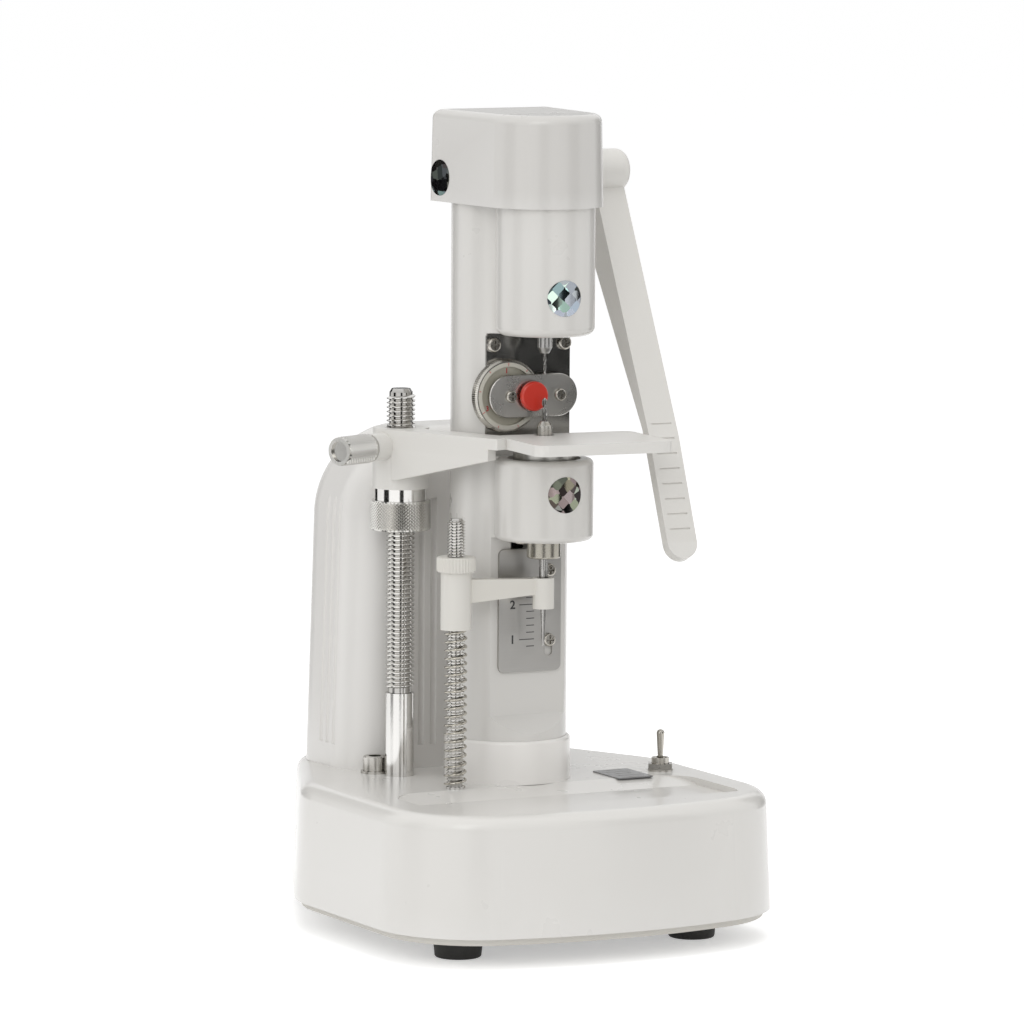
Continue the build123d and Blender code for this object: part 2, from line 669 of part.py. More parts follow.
def bearing_frame_part():
    """A plate on the column's head with two cheeks that hold the lever's shaft."""
    z1 = COLUMN_TOP + HEAD_PLATE_T
    frame = extrude(Pos(0, 0, COLUMN_TOP) * cap_plan(CAP_WALL + FREE), HEAD_PLATE_T)
    for side in (-1, 1):
        x0, x1 = sorted((side * BEARING_X0, side * BEARING_X1))
        frame += block(x0, x1, PIVOT_Y - 5, PIVOT_Y + DRIVE_HUB_R, COLUMN_TOP, PIVOT_Z + 6)
        frame -= rod(ROD_R + SCREW_FIT, COLUMN_TOP, z1, side * ROD_X, ROD_Y)
        frame -= rod(FRAME_SCREW_R + SCREW_FIT, COLUMN_TOP, z1, side * FRAME_SCREW_X, FRAME_SCREW_Y)
    frame -= rod_x(BUSH_R, -BEARING_X0 - BUSH_LEN, -BEARING_X0, PIVOT_Y, PIVOT_Z)
    frame -= rod_x(BUSH_R, BEARING_X0, BEARING_X1, PIVOT_Y, PIVOT_Z)
    frame -= rod_x(CAP_SCREW_R + SCREW_FIT, -BEARING_X1, -BEARING_X0 - BUSH_LEN, PIVOT_Y, PIVOT_Z)
    return frame - block(-BEARING_X0, BEARING_X0, PIN_Y - 7, ROD_Y - ROD_R - 0.8, COLUMN_TOP, z1)


def cap_screw_part():
    screw = pan_screw(CAP_SCREW_R, CAP_SCREW_HEAD_R, 1.2, CAP_SCREW_LEN)
    return Pos(-CAP_SCREW_SEAT, PIVOT_Y, PIVOT_Z) * Rot(0, -90, 0) * screw


def frame_screws_part():
    screw = pan_screw(FRAME_SCREW_R, 2.2, 1.6, 8.0)
    z1 = COLUMN_TOP + HEAD_PLATE_T
    return Compound([Pos(side * FRAME_SCREW_X, FRAME_SCREW_Y, z1) * screw for side in (-1, 1)])


def shaft_bushes_part():
    left = rod_x(BUSH_R, -BEARING_X0 - BUSH_LEN, -BEARING_X0, PIVOT_Y, PIVOT_Z)
    right = rod_x(BUSH_R, BEARING_X0, BEARING_X1, PIVOT_Y, PIVOT_Z)
    bore = rod_x(SHAFT_R + RUN, -BEARING_X1, BEARING_X1, PIVOT_Y, PIVOT_Z)
    return Compound([left - bore, right - bore])


def lever_shaft_part():
    shaft = rod_x(SHAFT_R, -BEARING_X0 - BUSH_LEN + FREE, LEVER_X1 - 3, PIVOT_Y, PIVOT_Z)
    return chamfer(shaft.edges(), 0.3)


def drive_arm_part():
    """A forked arm on the shaft; its slot holds the carriage's pin."""
    half_t = DRIVE_ARM_T / 2
    half_h = PIN_R + RUN + FORK_WALL
    hub = rod_x(DRIVE_HUB_R, -half_t, half_t, 0, 0)
    bar = block(-half_t, half_t, -DRIVE_ARM_LEN - 3.5, 0, -half_h, half_h)
    corner = block(-DRIVE_ARM_T, DRIVE_ARM_T, -6, 1, -half_h - 1, -min(half_h, DRIVE_HUB_R))
    arm = hub + (bar - corner)
    arm -= rod_x(SHAFT_R + SCREW_FIT, -DRIVE_ARM_T, DRIVE_ARM_T, 0, 0)
    slot = PIN_R + RUN
    slot_end = 0.6 - DRIVE_ARM_LEN
    arm -= block(-DRIVE_ARM_T, DRIVE_ARM_T, -DRIVE_ARM_LEN - 4, slot_end, -slot, slot)
    arm -= rod_x(slot, -DRIVE_ARM_T, DRIVE_ARM_T, slot_end, 0)
    arm -= rod(GRUB_R + SCREW_FIT, 0, half_h + 1)
    return Pos(0, PIVOT_Y, PIVOT_Z) * Rot(-DRIVE_LIFT, 0, 0) * arm


def grub_screws_part():
    arm_grub = Rot(-DRIVE_LIFT, 0, 0) * Pos(0, 0, SHAFT_R + 3.0) * grub_screw(GRUB_R, 2.9)
    lever_grub = Pos(LEVER_GRUB_X, 0, 0.2 - LEVER_HUB_R) * Rot(180, 0, 0)
    lever_grub *= grub_screw(LEVER_GRUB_R, LEVER_HUB_R - 0.3 - SHAFT_R)
    return Compound([Pos(0, PIVOT_Y, PIVOT_Z) * grub for grub in (arm_grub, lever_grub)])


def lever_part():
    """A hub and a bar that leans forward, thick at the hub and thin at its grooved tip."""
    lean, across = sin(radians(LEVER_ANGLE)), cos(radians(LEVER_ANGLE))
    side_plane = Plane(origin=(LEVER_X1, PIVOT_Y, PIVOT_Z), x_dir=(0, -lean, -across), z_dir=(-1, 0, 0))
    tip = LEVER_LEN
    width = LEVER_X1 - LEVER_X0
    knee_front = LEVER_FRONT + LEVER_KNEE_RISE
    tip_front = LEVER_FRONT - LEVER_TIP_BEND
    profile = Polyline(
        (2.0, LEVER_FRONT),
        (LEVER_KNEE, knee_front),
        (tip, tip_front),
        (tip, tip_front - LEVER_TIP_T),
        (LEVER_KNEE - 4, knee_front - LEVER_TIP_T),
        (32.0, -LEVER_BACK),
        (16.0, -LEVER_BACK - 0.6),
        (0, -LEVER_HUB_R + 0.2),
        close=True,
    )
    bar = extrude(side_plane * make_face(profile), width)
    mid_x = (LEVER_X0 + LEVER_X1) / 2
    face_plane = Plane(origin=(mid_x, PIVOT_Y, PIVOT_Z), x_dir=(1, 0, 0), z_dir=(0, across, -lean))
    straight = tip - width / 2
    face = Pos(0, straight / 2) * Rectangle(width, straight) + Pos(0, straight) * Circle(width / 2)
    bar &= extrude(face_plane * face, 20, both=True)
    for i in range(GRIP_LINES):
        along = GRIP_FIRST + i * GRIP_PITCH
        bend = max(0, (along - LEVER_KNEE) / (tip - LEVER_KNEE))
        face_y = knee_front + bend * (tip_front - knee_front)
        groove = Pos(along, face_y) * Rectangle(GRIP_W, 2 * GRIP_DEPTH)
        bar -= extrude(side_plane.offset((width - GRIP_LEN) / 2) * groove, GRIP_LEN)
    hub = rod_x(LEVER_HUB_R, CAP_REAR_HALF + FREE, LEVER_X1 + 2.2, PIVOT_Y, PIVOT_Z)
    hub = fillet(hub.faces().sort_by(Axis.X)[-1].edges(), LEVER_HUB_ROLL)
    lever = hub + bar
    lever -= rod_x(SHAFT_R + SCREW_FIT, 0, LEVER_X1 - 2.8, PIVOT_Y, PIVOT_Z)
    return lever - rod(LEVER_GRUB_R + SCREW_FIT, PIVOT_Z - LEVER_HUB_R - 1, PIVOT_Z, LEVER_GRUB_X, PIVOT_Y)


def motor_carriage_part():
    """A cup over the upper motor, two bored bosses that slide on rods and two ears for the pin."""
    motor_top = UPPER_MOTOR_Z + MOTOR_LEN
    body = rod(CUP_R, CUP_Z0, CUP_Z1, 0, DRILL_Y)
    body += block(-ROD_X, ROD_X, DRILL_Y + 9, ROD_Y, CUP_Z0, CUP_Z1)
    for side in (-1, 1):
        body += rod(ROD_R + ROD_BOSS_WALL, CUP_Z0, CUP_Z1, side * ROD_X, ROD_Y)
    body -= rod(MOTOR_R + SCREW_FIT, CUP_Z0, motor_top, 0, DRILL_Y)
    ear_in = DRIVE_ARM_T / 2 + EAR_GAP
    for side in (-1, 1):
        body -= rod(ROD_R + RUN, CUP_Z0, CUP_Z1, side * ROD_X, ROD_Y)
        x0, x1 = sorted((side * ear_in, side * (ear_in + EAR_T)))
        body += block(x0, x1, PIN_Y - EAR_HALF, PIN_Y + EAR_HALF, motor_top, PIN_Z + EAR_HALF)
    body -= rod_x(PIN_R + SCREW_FIT, -10, 10, PIN_Y, PIN_Z)
    return body - rod_y(CARRIAGE_SCREW_R + SCREW_FIT, DRILL_Y - CUP_R - 1, DRILL_Y, 0, UPPER_DOT_Z + 3)


def carriage_pin_part():
    reach = DRIVE_ARM_T / 2 + EAR_GAP + EAR_T
    return chamfer(rod_x(PIN_R, -reach, reach, PIN_Y, PIN_Z).edges(), 0.3)


def carriage_screw_part():
    return at_front(0, DRILL_Y - CUP_R + 0.2, UPPER_DOT_Z + 3) * grub_screw(CARRIAGE_SCREW_R, MOTOR_WALL - 0.25)


def guide_rods_part():
    z0 = UPPER_HEAD_Z - SHELF_T + 1
    bars = [rod(ROD_R, z0, COLUMN_TOP + HEAD_PLATE_T, side * ROD_X, ROD_Y) for side in (-1, 1)]
    return Compound(bars)


def coil(r, wire_r, pitch, z0, z1, x, y):
    """A round-wire compression spring between two heights."""
    path = Helix(pitch=pitch, height=z1 - z0 - 2 * wire_r, radius=r)
    section = Plane(origin=path @ 0, z_dir=path % 0) * Circle(wire_r)
    return Pos(x, y, z0 + wire_r) * sweep(section, path=path, is_frenet=True)


def return_springs_part():
    springs = []
    for side in (-1, 1):
        x = side * ROD_X
        springs.append(coil(RETURN_SPRING_R, RETURN_WIRE_R, RETURN_PITCH, UPPER_HEAD_Z, CUP_Z0, x, ROD_Y))
    return Compound(springs)


def upper_motor_part():
    z0 = UPPER_MOTOR_Z
    can = chamfer(rod(MOTOR_R, z0, z0 + MOTOR_LEN, 0, DRILL_Y).edges(), 0.4)
    can += rod(MOTOR_NOSE_R, z0 - MOTOR_NOSE_H, z0, 0, DRILL_Y)
    return can - rod(SPINDLE_R + RUN, z0 - 2, z0 + 14, 0, DRILL_Y)


def upper_chuck_part():
    nose_z = UPPER_CHUCK_Z + CHUCK_NOSE_H
    z1 = UPPER_MOTOR_Z - MOTOR_NOSE_H - FREE
    chuck = rod(UPPER_CHUCK_R, nose_z, z1, 0, DRILL_Y)
    chuck += taper_rod(UPPER_CHUCK_NOSE_R, UPPER_CHUCK_R, UPPER_CHUCK_Z, nose_z, 0, DRILL_Y)
    chuck += rod(SPINDLE_R, z1, UPPER_MOTOR_Z + 13, 0, DRILL_Y)
    return chuck - rod(UPPER_DRILL_R, UPPER_CHUCK_Z, UPPER_CHUCK_Z + CHUCK_GRIP, 0, DRILL_Y)


def pointed_drill(r, z_tip, z_end, up):
    point = r * 0.8
    if up:
        return rod(r, z_end, z_tip - point, 0, DRILL_Y) + taper_rod(r, 0.08, z_tip - point, z_tip, 0, DRILL_Y)
    return rod(r, z_tip + point, z_end, 0, DRILL_Y) + taper_rod(0.08, r, z_tip, z_tip + point, 0, DRILL_Y)


def upper_drill_part():
    return pointed_drill(UPPER_DRILL_R, UPPER_TIP_Z, UPPER_CHUCK_Z + CHUCK_GRIP, False)


def lower_motor_part():
    z0 = LOWER_HEAD_Z0 + FRONT_WALL
    ring_top = LOWER_HEAD_Z1 + MOTOR_RING_H
    can = chamfer(rod(MOTOR_R, z0, z0 + LOWER_MOTOR_LEN, 0, DRILL_Y).edges(), 0.4)
    can += rod(MOTOR_RING_R, z0 + LOWER_MOTOR_LEN, ring_top, 0, DRILL_Y)
    can -= rod(SPINDLE_R + RUN, LOWER_HEAD_Z0, ring_top, 0, DRILL_Y)
    for side in (-1, 1):
        can -= rod(MOTOR_SCREW_R + SCREW_FIT, z0, z0 + 4, side * MOTOR_SCREW_X, DRILL_Y)
    return can


def motor_screws_part():
    screw = pan_screw(MOTOR_SCREW_R, 1.9, 1.2, FRONT_WALL + 3.5)
    screw = Pos(0, DRILL_Y, LOWER_HEAD_Z0) * Rot(180, 0, 0) * screw
    return Compound([Pos(side * MOTOR_SCREW_X, 0, 0) * screw for side in (-1, 1)])


def motor_grub_part():
    seat = HEAD_R - 0.6
    return at_front(0, DRILL_Y - seat, LOWER_DOT_Z) * grub_screw(CARRIAGE_SCREW_R, seat - MOTOR_R - 0.1)


def lower_spindle_part():
    """The motor's shaft with the collet on its upper end and the reamer's chuck on its lower end."""
    collet_z0 = LOWER_HEAD_Z1 + MOTOR_RING_H + FREE
    nose_z = COLLET_TOP - COLLET_NOSE_H
    shaft = rod(SPINDLE_R, LOWER_HEAD_Z0, collet_z0, 0, DRILL_Y)
    collet = rod(COLLET_R, collet_z0, nose_z, 0, DRILL_Y)
    collet += taper_rod(COLLET_R, COLLET_NOSE_R, nose_z, COLLET_TOP, 0, DRILL_Y)
    chuck = rod(LOWER_CHUCK_R, LOWER_CHUCK_Z, LOWER_HEAD_Z0 + 1.6, 0, DRILL_Y)
    chuck = fillet(chuck.edges(), 0.6)
    spindle = shaft + collet + chuck
    spindle -= rod(LOWER_DRILL_R, COLLET_TOP - CHUCK_GRIP, COLLET_TOP, 0, DRILL_Y)
    return spindle - rod(REAMER_SHANK_R, LOWER_CHUCK_Z, LOWER_CHUCK_Z + REAMER_GRIP, 0, DRILL_Y)


def lower_drill_part():
    return pointed_drill(LOWER_DRILL_R, LOWER_TIP_Z, COLLET_TOP - CHUCK_GRIP, True)


def reamer_part():
    taper_top = REAMER_TIP_Z + (REAMER_SHANK_R - REAMER_TIP_R) / REAMER_SLOPE
    cutter = taper_rod(REAMER_TIP_R, REAMER_SHANK_R, REAMER_TIP_Z, taper_top, 0, DRILL_Y)
    return cutter + rod(REAMER_SHANK_R, taper_top, LOWER_CHUCK_Z + REAMER_GRIP, 0, DRILL_Y)


def guide_screw_places():
    return [(side * GUIDE_SCREW_X, GUIDE_SCREW_Z) for side in (-1, 1)]


def scale_screw_heights():
    return (SCALE_SCREW_LOW, SCALE_SCREW_TOP)


def guide_plate_part():
    half_w = GUIDE_PLATE_W / 2
    plate = block(-half_w, half_w, GUIDE_FRONT_Y, UPPER_FLAT_Y, GUIDE_PLATE_Z0, GUIDE_PLATE_Z1)
    plate = fillet(plate.edges().filter_by(Axis.Y), 1.0)
    for x, z in guide_screw_places() + [(DIAL_X, DIAL_Z), (BRACKET_SCREW_X, DIAL_Z)]:
        plate -= rod_y(SMALL_HOLE_R, GUIDE_FRONT_Y, UPPER_FLAT_Y, x, z)
    return plate


def guide_plate_screws_part():
    screw = pan_screw(SMALL_SCREW_R, 2.4, 1.5, 5.5)
    return Compound([at_front(x, GUIDE_FRONT_Y, z) * screw for x, z in guide_screw_places()])


def dial_part():
    """A round plate on a sleeve, with a spiral step round its face that sets how far the stop stands out."""
    back = GUIDE_FRONT_Y - FREE
    front = back - DIAL_T
    dial = rod_y(DIAL_R, front, back, DIAL_X, DIAL_Z)
    dial = chamfer(front_edges(dial), 0.6)
    dial -= rod_y(SPACER_R + RUN, front, back, DIAL_X, DIAL_Z)
    groove_y = front + STOP_TRAVEL + 0.2
    groove = rod_y(CAM_R + BUTTON_STEM_R + FREE, front, groove_y, DIAL_X, DIAL_Z)
    groove -= rod_y(CAM_R - BUTTON_STEM_R - FREE, front, groove_y, DIAL_X, DIAL_Z)
    return dial - groove


def bracket_spacers_part():
    y0 = GUIDE_FRONT_Y - SPACER_LEN
    bars = []
    for x in (DIAL_X, BRACKET_SCREW_X):
        bar = rod_y(SPACER_R, y0, GUIDE_FRONT_Y, x, DIAL_Z)
        bars.append(bar - rod_y(SMALL_SCREW_R + SCREW_FIT, y0, GUIDE_FRONT_Y, x, DIAL_Z))
    return Compound(bars)


def stop_bracket_part():
    back = BRACKET_FRONT_Y + BRACKET_T
    slot = extrude(SlotOverall(BRACKET_LEN, BRACKET_H), BRACKET_T)
    slot = Pos(BRACKET_X, back, DIAL_Z) * Rot(90, 0, 0) * slot
    slot = chamfer(front_edges(slot), 0.25)
    for x in (DIAL_X, BRACKET_SCREW_X):
        slot -= rod_y(SMALL_HOLE_R, BRACKET_FRONT_Y, back, x, DIAL_Z)
    return slot - rod_y(BUTTON_STEM_R + RUN, BRACKET_FRONT_Y, back, BUTTON_X, DIAL_Z)


def bracket_screws_part():
    length = SPACER_LEN + BRACKET_T + GUIDE_PLATE_T + 2.2
    screw = pan_screw(SMALL_SCREW_R, 2.1, 1.2, length)
    return Compound([at_front(x, BRACKET_FRONT_Y, DIAL_Z) * screw for x in (DIAL_X, BRACKET_SCREW_X)])


def stop_button_part():
    """A round red head on a stem whose inner end runs on the dial's face."""
    head_back = BRACKET_FRONT_Y - STOP_TRAVEL
    head = rod_y(BUTTON_R, head_back - BUTTON_HEAD_T, head_back, BUTTON_X, DIAL_Z)
    head = fillet(front_edges(head), 0.7)
    return head + rod_y(BUTTON_STEM_R, head_back, BRACKET_FRONT_Y + BRACKET_T + 0.4, BUTTON_X, DIAL_Z)


def scale_plate_part():
    x0, x1 = SCALE_X - SCALE_W / 2, SCALE_X + SCALE_W / 2
    plate = block(x0, x1, SCALE_FRONT_Y, LOWER_FLAT_Y, SCALE_Z0, SCALE_Z1)
    plate = fillet(plate.edges().filter_by(Axis.Y), SCALE_CORNER_R)
    high = SCALE_SCREW_LOW + 0.8
    low = high - SCALE_SLOT
    for z in (low, high, SCALE_SCREW_TOP):
        plate -= rod_y(SMALL_HOLE_R, SCALE_FRONT_Y, LOWER_FLAT_Y, SCALE_SCREW_X, z)
    left, right = SCALE_SCREW_X - SMALL_HOLE_R, SCALE_SCREW_X + SMALL_HOLE_R
    return plate - block(left, right, SCALE_FRONT_Y, LOWER_FLAT_Y, low, high)


def scale_screws_part():
    screw = pan_screw(SMALL_SCREW_R, 2.2, 1.3, 3.6)
    return Compound([at_front(SCALE_SCREW_X, SCALE_FRONT_Y, z) * screw for z in scale_screw_heights()])


def dots_part():
    """Thin round foil labels: two on the heads' fronts and one on the cap's side."""
    dots = []
    for z, turn in ((LOWER_DOT_Z, LOWER_DOT_TURN), (UPPER_DOT_Z, UPPER_DOT_TURN)):
        z0, z1 = z - DOT_R - 1, z + DOT_R + 1
        skin = rod(HEAD_R + DOT_T, z0, z1) - rod(HEAD_R, z0, z1)
        dot = skin & rod_y(DOT_R, -HEAD_R - 2, -8, 0, z)
        dots.append(Pos(0, DRILL_Y) * Rot(0, 0, turn) * dot)
    cap_skin = cap_outer(DOT_T) - cap_outer()
    side_x = -CAP_REAR_HALF
    dots.append(cap_skin & rod_x(DOT_R, side_x - 2, side_x + 5, PIVOT_Y, PIVOT_Z - CAP_DOT_DROP))
    return Compound(dots)


def arm_plane(z):
    """Local X runs from the post towards the table and local Y towards the column."""
    lean, along = sin(radians(ARM_ANGLE)), cos(radians(ARM_ANGLE))
    return Plane(origin=(POST_X, POST_Y, z), x_dir=(lean, -along, 0), z_dir=(0, 0, 1))


def table_arm_part():
    """A clamped hub, an arm with a skirt on its outer side and the flat table, in one casting."""
    hub = rod(HUB_R, HUB_Z0, HUB_TOP, POST_X, POST_Y)
    under = HUB_TOP - TABLE_T
    plan = RectangleRounded(TABLE_LEFT + TABLE_RIGHT, TABLE_FORWARD + TABLE_BACK, TABLE_CORNER_R)
    plan = Pos((TABLE_RIGHT - TABLE_LEFT) / 2, (TABLE_BACK - TABLE_FORWARD) / 2) * plan
    table = extrude(Pos(0, DRILL_Y, under) * Rot(0, 0, TABLE_TURN) * plan, TABLE_T)
    flange = Polyline((0, -HUB_R), (ARM_LEN, -HUB_R), (ARM_LEN, ARM_RIGHT), (0, ARM_RIGHT), close=True)
    flange = extrude(arm_plane(under) * make_face(flange), TABLE_T)
    top = arm_plane(HUB_TOP)
    outwards = top.y_dir * -1
    side = Plane(origin=top.origin, x_dir=top.x_dir, z_dir=outwards)
    skirt = Polyline(
        (SKIRT_START, 0),
        (SKIRT_LEN, 0),
        (SKIRT_LEN, -SKIRT_LOW),
        (SKIRT_START + 2, -SKIRT_HIGH),
        (SKIRT_START, -SKIRT_HIGH),
        close=True,
    )
    skirt = extrude(side.offset(HUB_R - WEB_T) * make_face(skirt), WEB_T)
    ear_plane = Plane(origin=(POST_X, POST_Y, THUMB_Z), z_dir=outwards)
    ear = extrude(ear_plane * Circle(EAR_R), THUMB_REACH - FREE)
    casting = hub + table + flange + skirt + ear
    casting -= rod(POST_R + RUN, HUB_Z0, HUB_TOP, POST_X, POST_Y)
    casting -= rod(TABLE_HOLE_R, under, HUB_TOP, 0, DRILL_Y)
    return casting - extrude(ear_plane * Circle(THUMB_SHANK_R + RUN), THUMB_REACH)


def thumb_screw_part():
    seat = Plane(origin=(POST_X, POST_Y, THUMB_Z), z_dir=arm_plane(0).y_dir * -1)
    head_end = THUMB_REACH + THUMB_LEN
    screw = chamfer(rod(THUMB_R, THUMB_REACH, head_end).edges(), 0.6)
    screw -= rod(THUMB_R - 1.3, head_end - 1, head_end)
    screw += rod(THUMB_SHANK_R, POST_R + RUN, THUMB_REACH)
    return seat.location * screw


def table_post_part():
    return chamfer(rod(POST_R, TOP_UNDER - POST_TAIL, POST_TOP, POST_X, POST_Y).edges(), 1.0)


def height_nut_part():
    nut = chamfer(rod(NUT_R, NUT_Z, NUT_Z + NUT_H, POST_X, POST_Y).edges(), 0.7)
    return nut - rod(POST_R + RUN, NUT_Z, NUT_Z + NUT_H, POST_X, POST_Y)


def support_collar_part():
    collar = rod(COLLAR_R, NUT_Z + NUT_H, HUB_Z0, POST_X, POST_Y)
    return collar - rod(POST_R + RUN, NUT_Z + NUT_H, HUB_Z0, POST_X, POST_Y)


def post_nuts_part():
    nuts = []
    for x, y, r, wall, height in (
        (POST_X, POST_Y, POST_R, POST_NUT_WALL, POST_NUT_H),
        (STOP_POST_X, STOP_POST_Y, STOP_POST_R, STOP_NUT_WALL, STOP_POST_NUT_H),
    ):
        nut = hexagon(2 * (r + wall), TOP_UNDER - height, TOP_UNDER, x, y)
        nuts.append(nut - rod(r + SCREW_FIT, TOP_UNDER - height, TOP_UNDER, x, y))
    return Compound(nuts)


def stop_post_part():
    post = rod(STOP_POST_R, TOP_UNDER - STOP_POST_TAIL, STOP_POST_TOP, STOP_POST_X, STOP_POST_Y)
    return chamfer(post.edges(), 0.6)


def stop_spring_part():
    r = SPRING_R - SPRING_WIRE_R
    return coil(r, SPRING_WIRE_R, SPRING_PITCH, DECK_Z, SLEEVE_Z0, STOP_POST_X, STOP_POST_Y)


def stop_arm_part():
    """A sleeve on the post with an arm out to the small sleeve round the reamer."""
    sleeve = rod(SLEEVE_R, SLEEVE_Z0, SLEEVE_Z1, STOP_POST_X, STOP_POST_Y)
    tip = rod(STOP_TIP_R, STOP_TIP_Z0, STOP_TIP_Z1, 0, DRILL_Y)
    reach = sqrt(STOP_POST_X**2 + (DRILL_Y - STOP_POST_Y) ** 2)
    along = (-STOP_POST_X / reach, (DRILL_Y - STOP_POST_Y) / reach, 0)
    side = Plane(origin=(STOP_POST_X, STOP_POST_Y, STOP_TIP_Z1), x_dir=along, z_dir=(along[1], -along[0], 0))
    profile = Polyline(
        (0, -STOP_ARM_TOP[0]),
        (reach, -STOP_ARM_TOP[1]),
        (reach, -STOP_ARM_LOW[1]),
        (0, -STOP_ARM_LOW[0]),
        close=True,
    )
    arm = sleeve + tip + extrude(side * make_face(profile), STOP_ARM_T / 2, both=True)
    arm -= rod(STOP_POST_R + RUN, SLEEVE_Z0, SLEEVE_Z1, STOP_POST_X, STOP_POST_Y)
    return arm - rod(REAMER_SHANK_R + STOP_TIP_GAP, STOP_TIP_Z0 - 1, STOP_TIP_Z1 + 1, 0, DRILL_Y)


def stop_nut_part():
    top = SLEEVE_Z1 + STOP_NUT_H
    nut = chamfer(rod(STOP_NUT_R, SLEEVE_Z1, top, STOP_POST_X, STOP_POST_Y).edges(), 0.5)
    return nut - rod(STOP_POST_R + RUN, SLEEVE_Z1, top, STOP_POST_X, STOP_POST_Y)


def housing_block(inset=0.0):
    """A drafted arch with wide shoulders, run from front to back and rolled at both its ends."""
    half, top = HOUSING_HALF - inset, HOUSING_H - inset
    half_top = half - top * tan(radians(HOUSING_DRAFT))
    arch = make_face(Polyline((-half, 0), (half, 0), (half_top, top), (-half_top, top), close=True))
    arch = fillet(arch.vertices().group_by(Axis.Y)[-1], HOUSING_SHOULDER_R - inset)
    front = Plane(origin=(0, HOUSING_FRONT + inset, DECK_Z), x_dir=(1, 0, 0), z_dir=(0, -1, 0))
    run = extrude(front * arch, -(HOUSING_REAR - HOUSING_FRONT - 2 * inset))
    ends = run.faces().filter_by(Axis.Y).edges() - run.faces().sort_by(Axis.Z)[0].edges()
    return fillet(ends, HOUSING_ROLL - inset)


def flute_rod(x, y, lean_x, lean_y):
    """An upright groove cutter that leans with the drafted wall."""
    lean = tan(radians(HOUSING_DRAFT))
    ends = []
    for rise in (FLUTE_FOOT, HOUSING_H - FLUTE_HEAD):
        ends.append(Vector(x + lean_x * rise * lean, y + lean_y * rise * lean, DECK_Z + rise))
    span = ends[1] - ends[0]
    groove = Cylinder(FLUTE_R, span.length, align=(Align.CENTER, Align.CENTER, Align.MIN))
    return Plane(origin=ends[0], z_dir=span).location * groove


def rear_housing_part():
    housing = housing_block() - housing_block(HOUSING_WALL)
    for x, y in housing_screw_places():
        housing += rod(HOUSING_BOSS_R, DECK_Z, DECK_Z + HOUSING_BOSS_H, x, y)
        housing -= rod(HOUSING_SCREW_R + SCREW_FIT, DECK_Z, DECK_Z + HOUSING_BOSS_H - 3, x, y)
    outside = FLUTE_R - FLUTE_BITE
    for i in range(FLUTES):
        step = (i - (FLUTES - 1) / 2) * FLUTE_PITCH
        side_y = HOUSING_MID_Y + SIDE_FLUTE_SHIFT + step
        for side in (-1, 1):
            housing -= flute_rod(side * (HOUSING_HALF + outside), side_y, -side, 0)
            housing -= flute_rod(side * FRONT_FLUTE_X + step, HOUSING_FRONT - outside, 0, 0)
    half = GLAND_PAD / 2
    pad = block(-half, half, HOUSING_REAR - PAD_DEPTH, HOUSING_REAR + 1, GLAND_Z - half, GLAND_Z + half)
    housing += fillet(back_edges(pad), 1.0)
    return housing - rod_y(GLAND_R + SCREW_FIT, HOUSING_REAR - PAD_DEPTH - 1, HOUSING_REAR + 1, 0, GLAND_Z)


def housing_screws_part():
    screw = pan_screw(HOUSING_SCREW_R, 2.9, 2.0, SHELL_WALL + 7.0)
    return Compound([Pos(x, y, TOP_UNDER) * Rot(180, 0, 0) * screw for x, y in housing_screw_places()])


def cable_gland_part():
    """A threaded gland through the housing's back, with its nut inside."""
    y0 = HOUSING_REAR + 1
    inside_y = HOUSING_REAR - PAD_DEPTH
    hexagon_plan = RegularPolygon(GLAND_FLATS / 2, 6, major_radius=False)
    body = rod_y(GLAND_R, inside_y - 6, y0, 0, GLAND_Z)
    flange = Pos(0, y0, GLAND_Z) * Rot(-90, 0, 0) * extrude(hexagon_plan, 4)
    dome = rod_y(GLAND_R + 0.8, y0 + 4, y0 + 8, 0, GLAND_Z)
    dome = fillet(back_edges(dome), 2.0)
    gland = body + flange + dome
    gland -= rod_y(GLAND_BORE_R, inside_y - 7, y0 + 9, 0, GLAND_Z)
    nut = Pos(0, inside_y, GLAND_Z) * Rot(90, 0, 0) * extrude(hexagon_plan, 4.5)
    nut -= rod_y(GLAND_R + SCREW_FIT, inside_y - 5, inside_y, 0, GLAND_Z)
    return Compound([gland, nut])


def transformer_part():
    """A laminated core with its winding, on a foot that stands on the deck."""
    mid = HOUSING_MID_Y
    foot = block(-27, 27, mid - 4, mid + 12, DECK_Z, DECK_Z + 2)
    core = block(-20, 20, mid - 6, mid + 6, DECK_Z + 2, DECK_Z + CORE_TOP)
    winding = block(-12, 12, mid - 14, mid + 14, DECK_Z + 8, DECK_Z + CORE_TOP - 6)
    winding = fillet(winding.edges().filter_by(Axis.Z), 4)
    body = foot + core + winding
    for side in (-1, 1):
        body -= rod(1.7, DECK_Z, DECK_Z + 2, side * 23.5, mid + 4)
    return body - rod(HOUSING_WIRE_R, DECK_Z, DECK_Z + 2, 0, mid)


def circuit_board_part():
    """The speed board over the transformer, with two round capacitors and a flat regulator."""
    mid = HOUSING_MID_Y
    z0 = DECK_Z + CORE_TOP
    top = z0 + BOARD_T
    board = block(-22, 22, mid - 14, mid + 14, z0, top)
    for x in (-14, -3):
        board += rod(4.0, top, top + 12.4, x, mid + 4)
    return board + block(5, 15, mid - 6, mid - 2, top, top + 10.4)


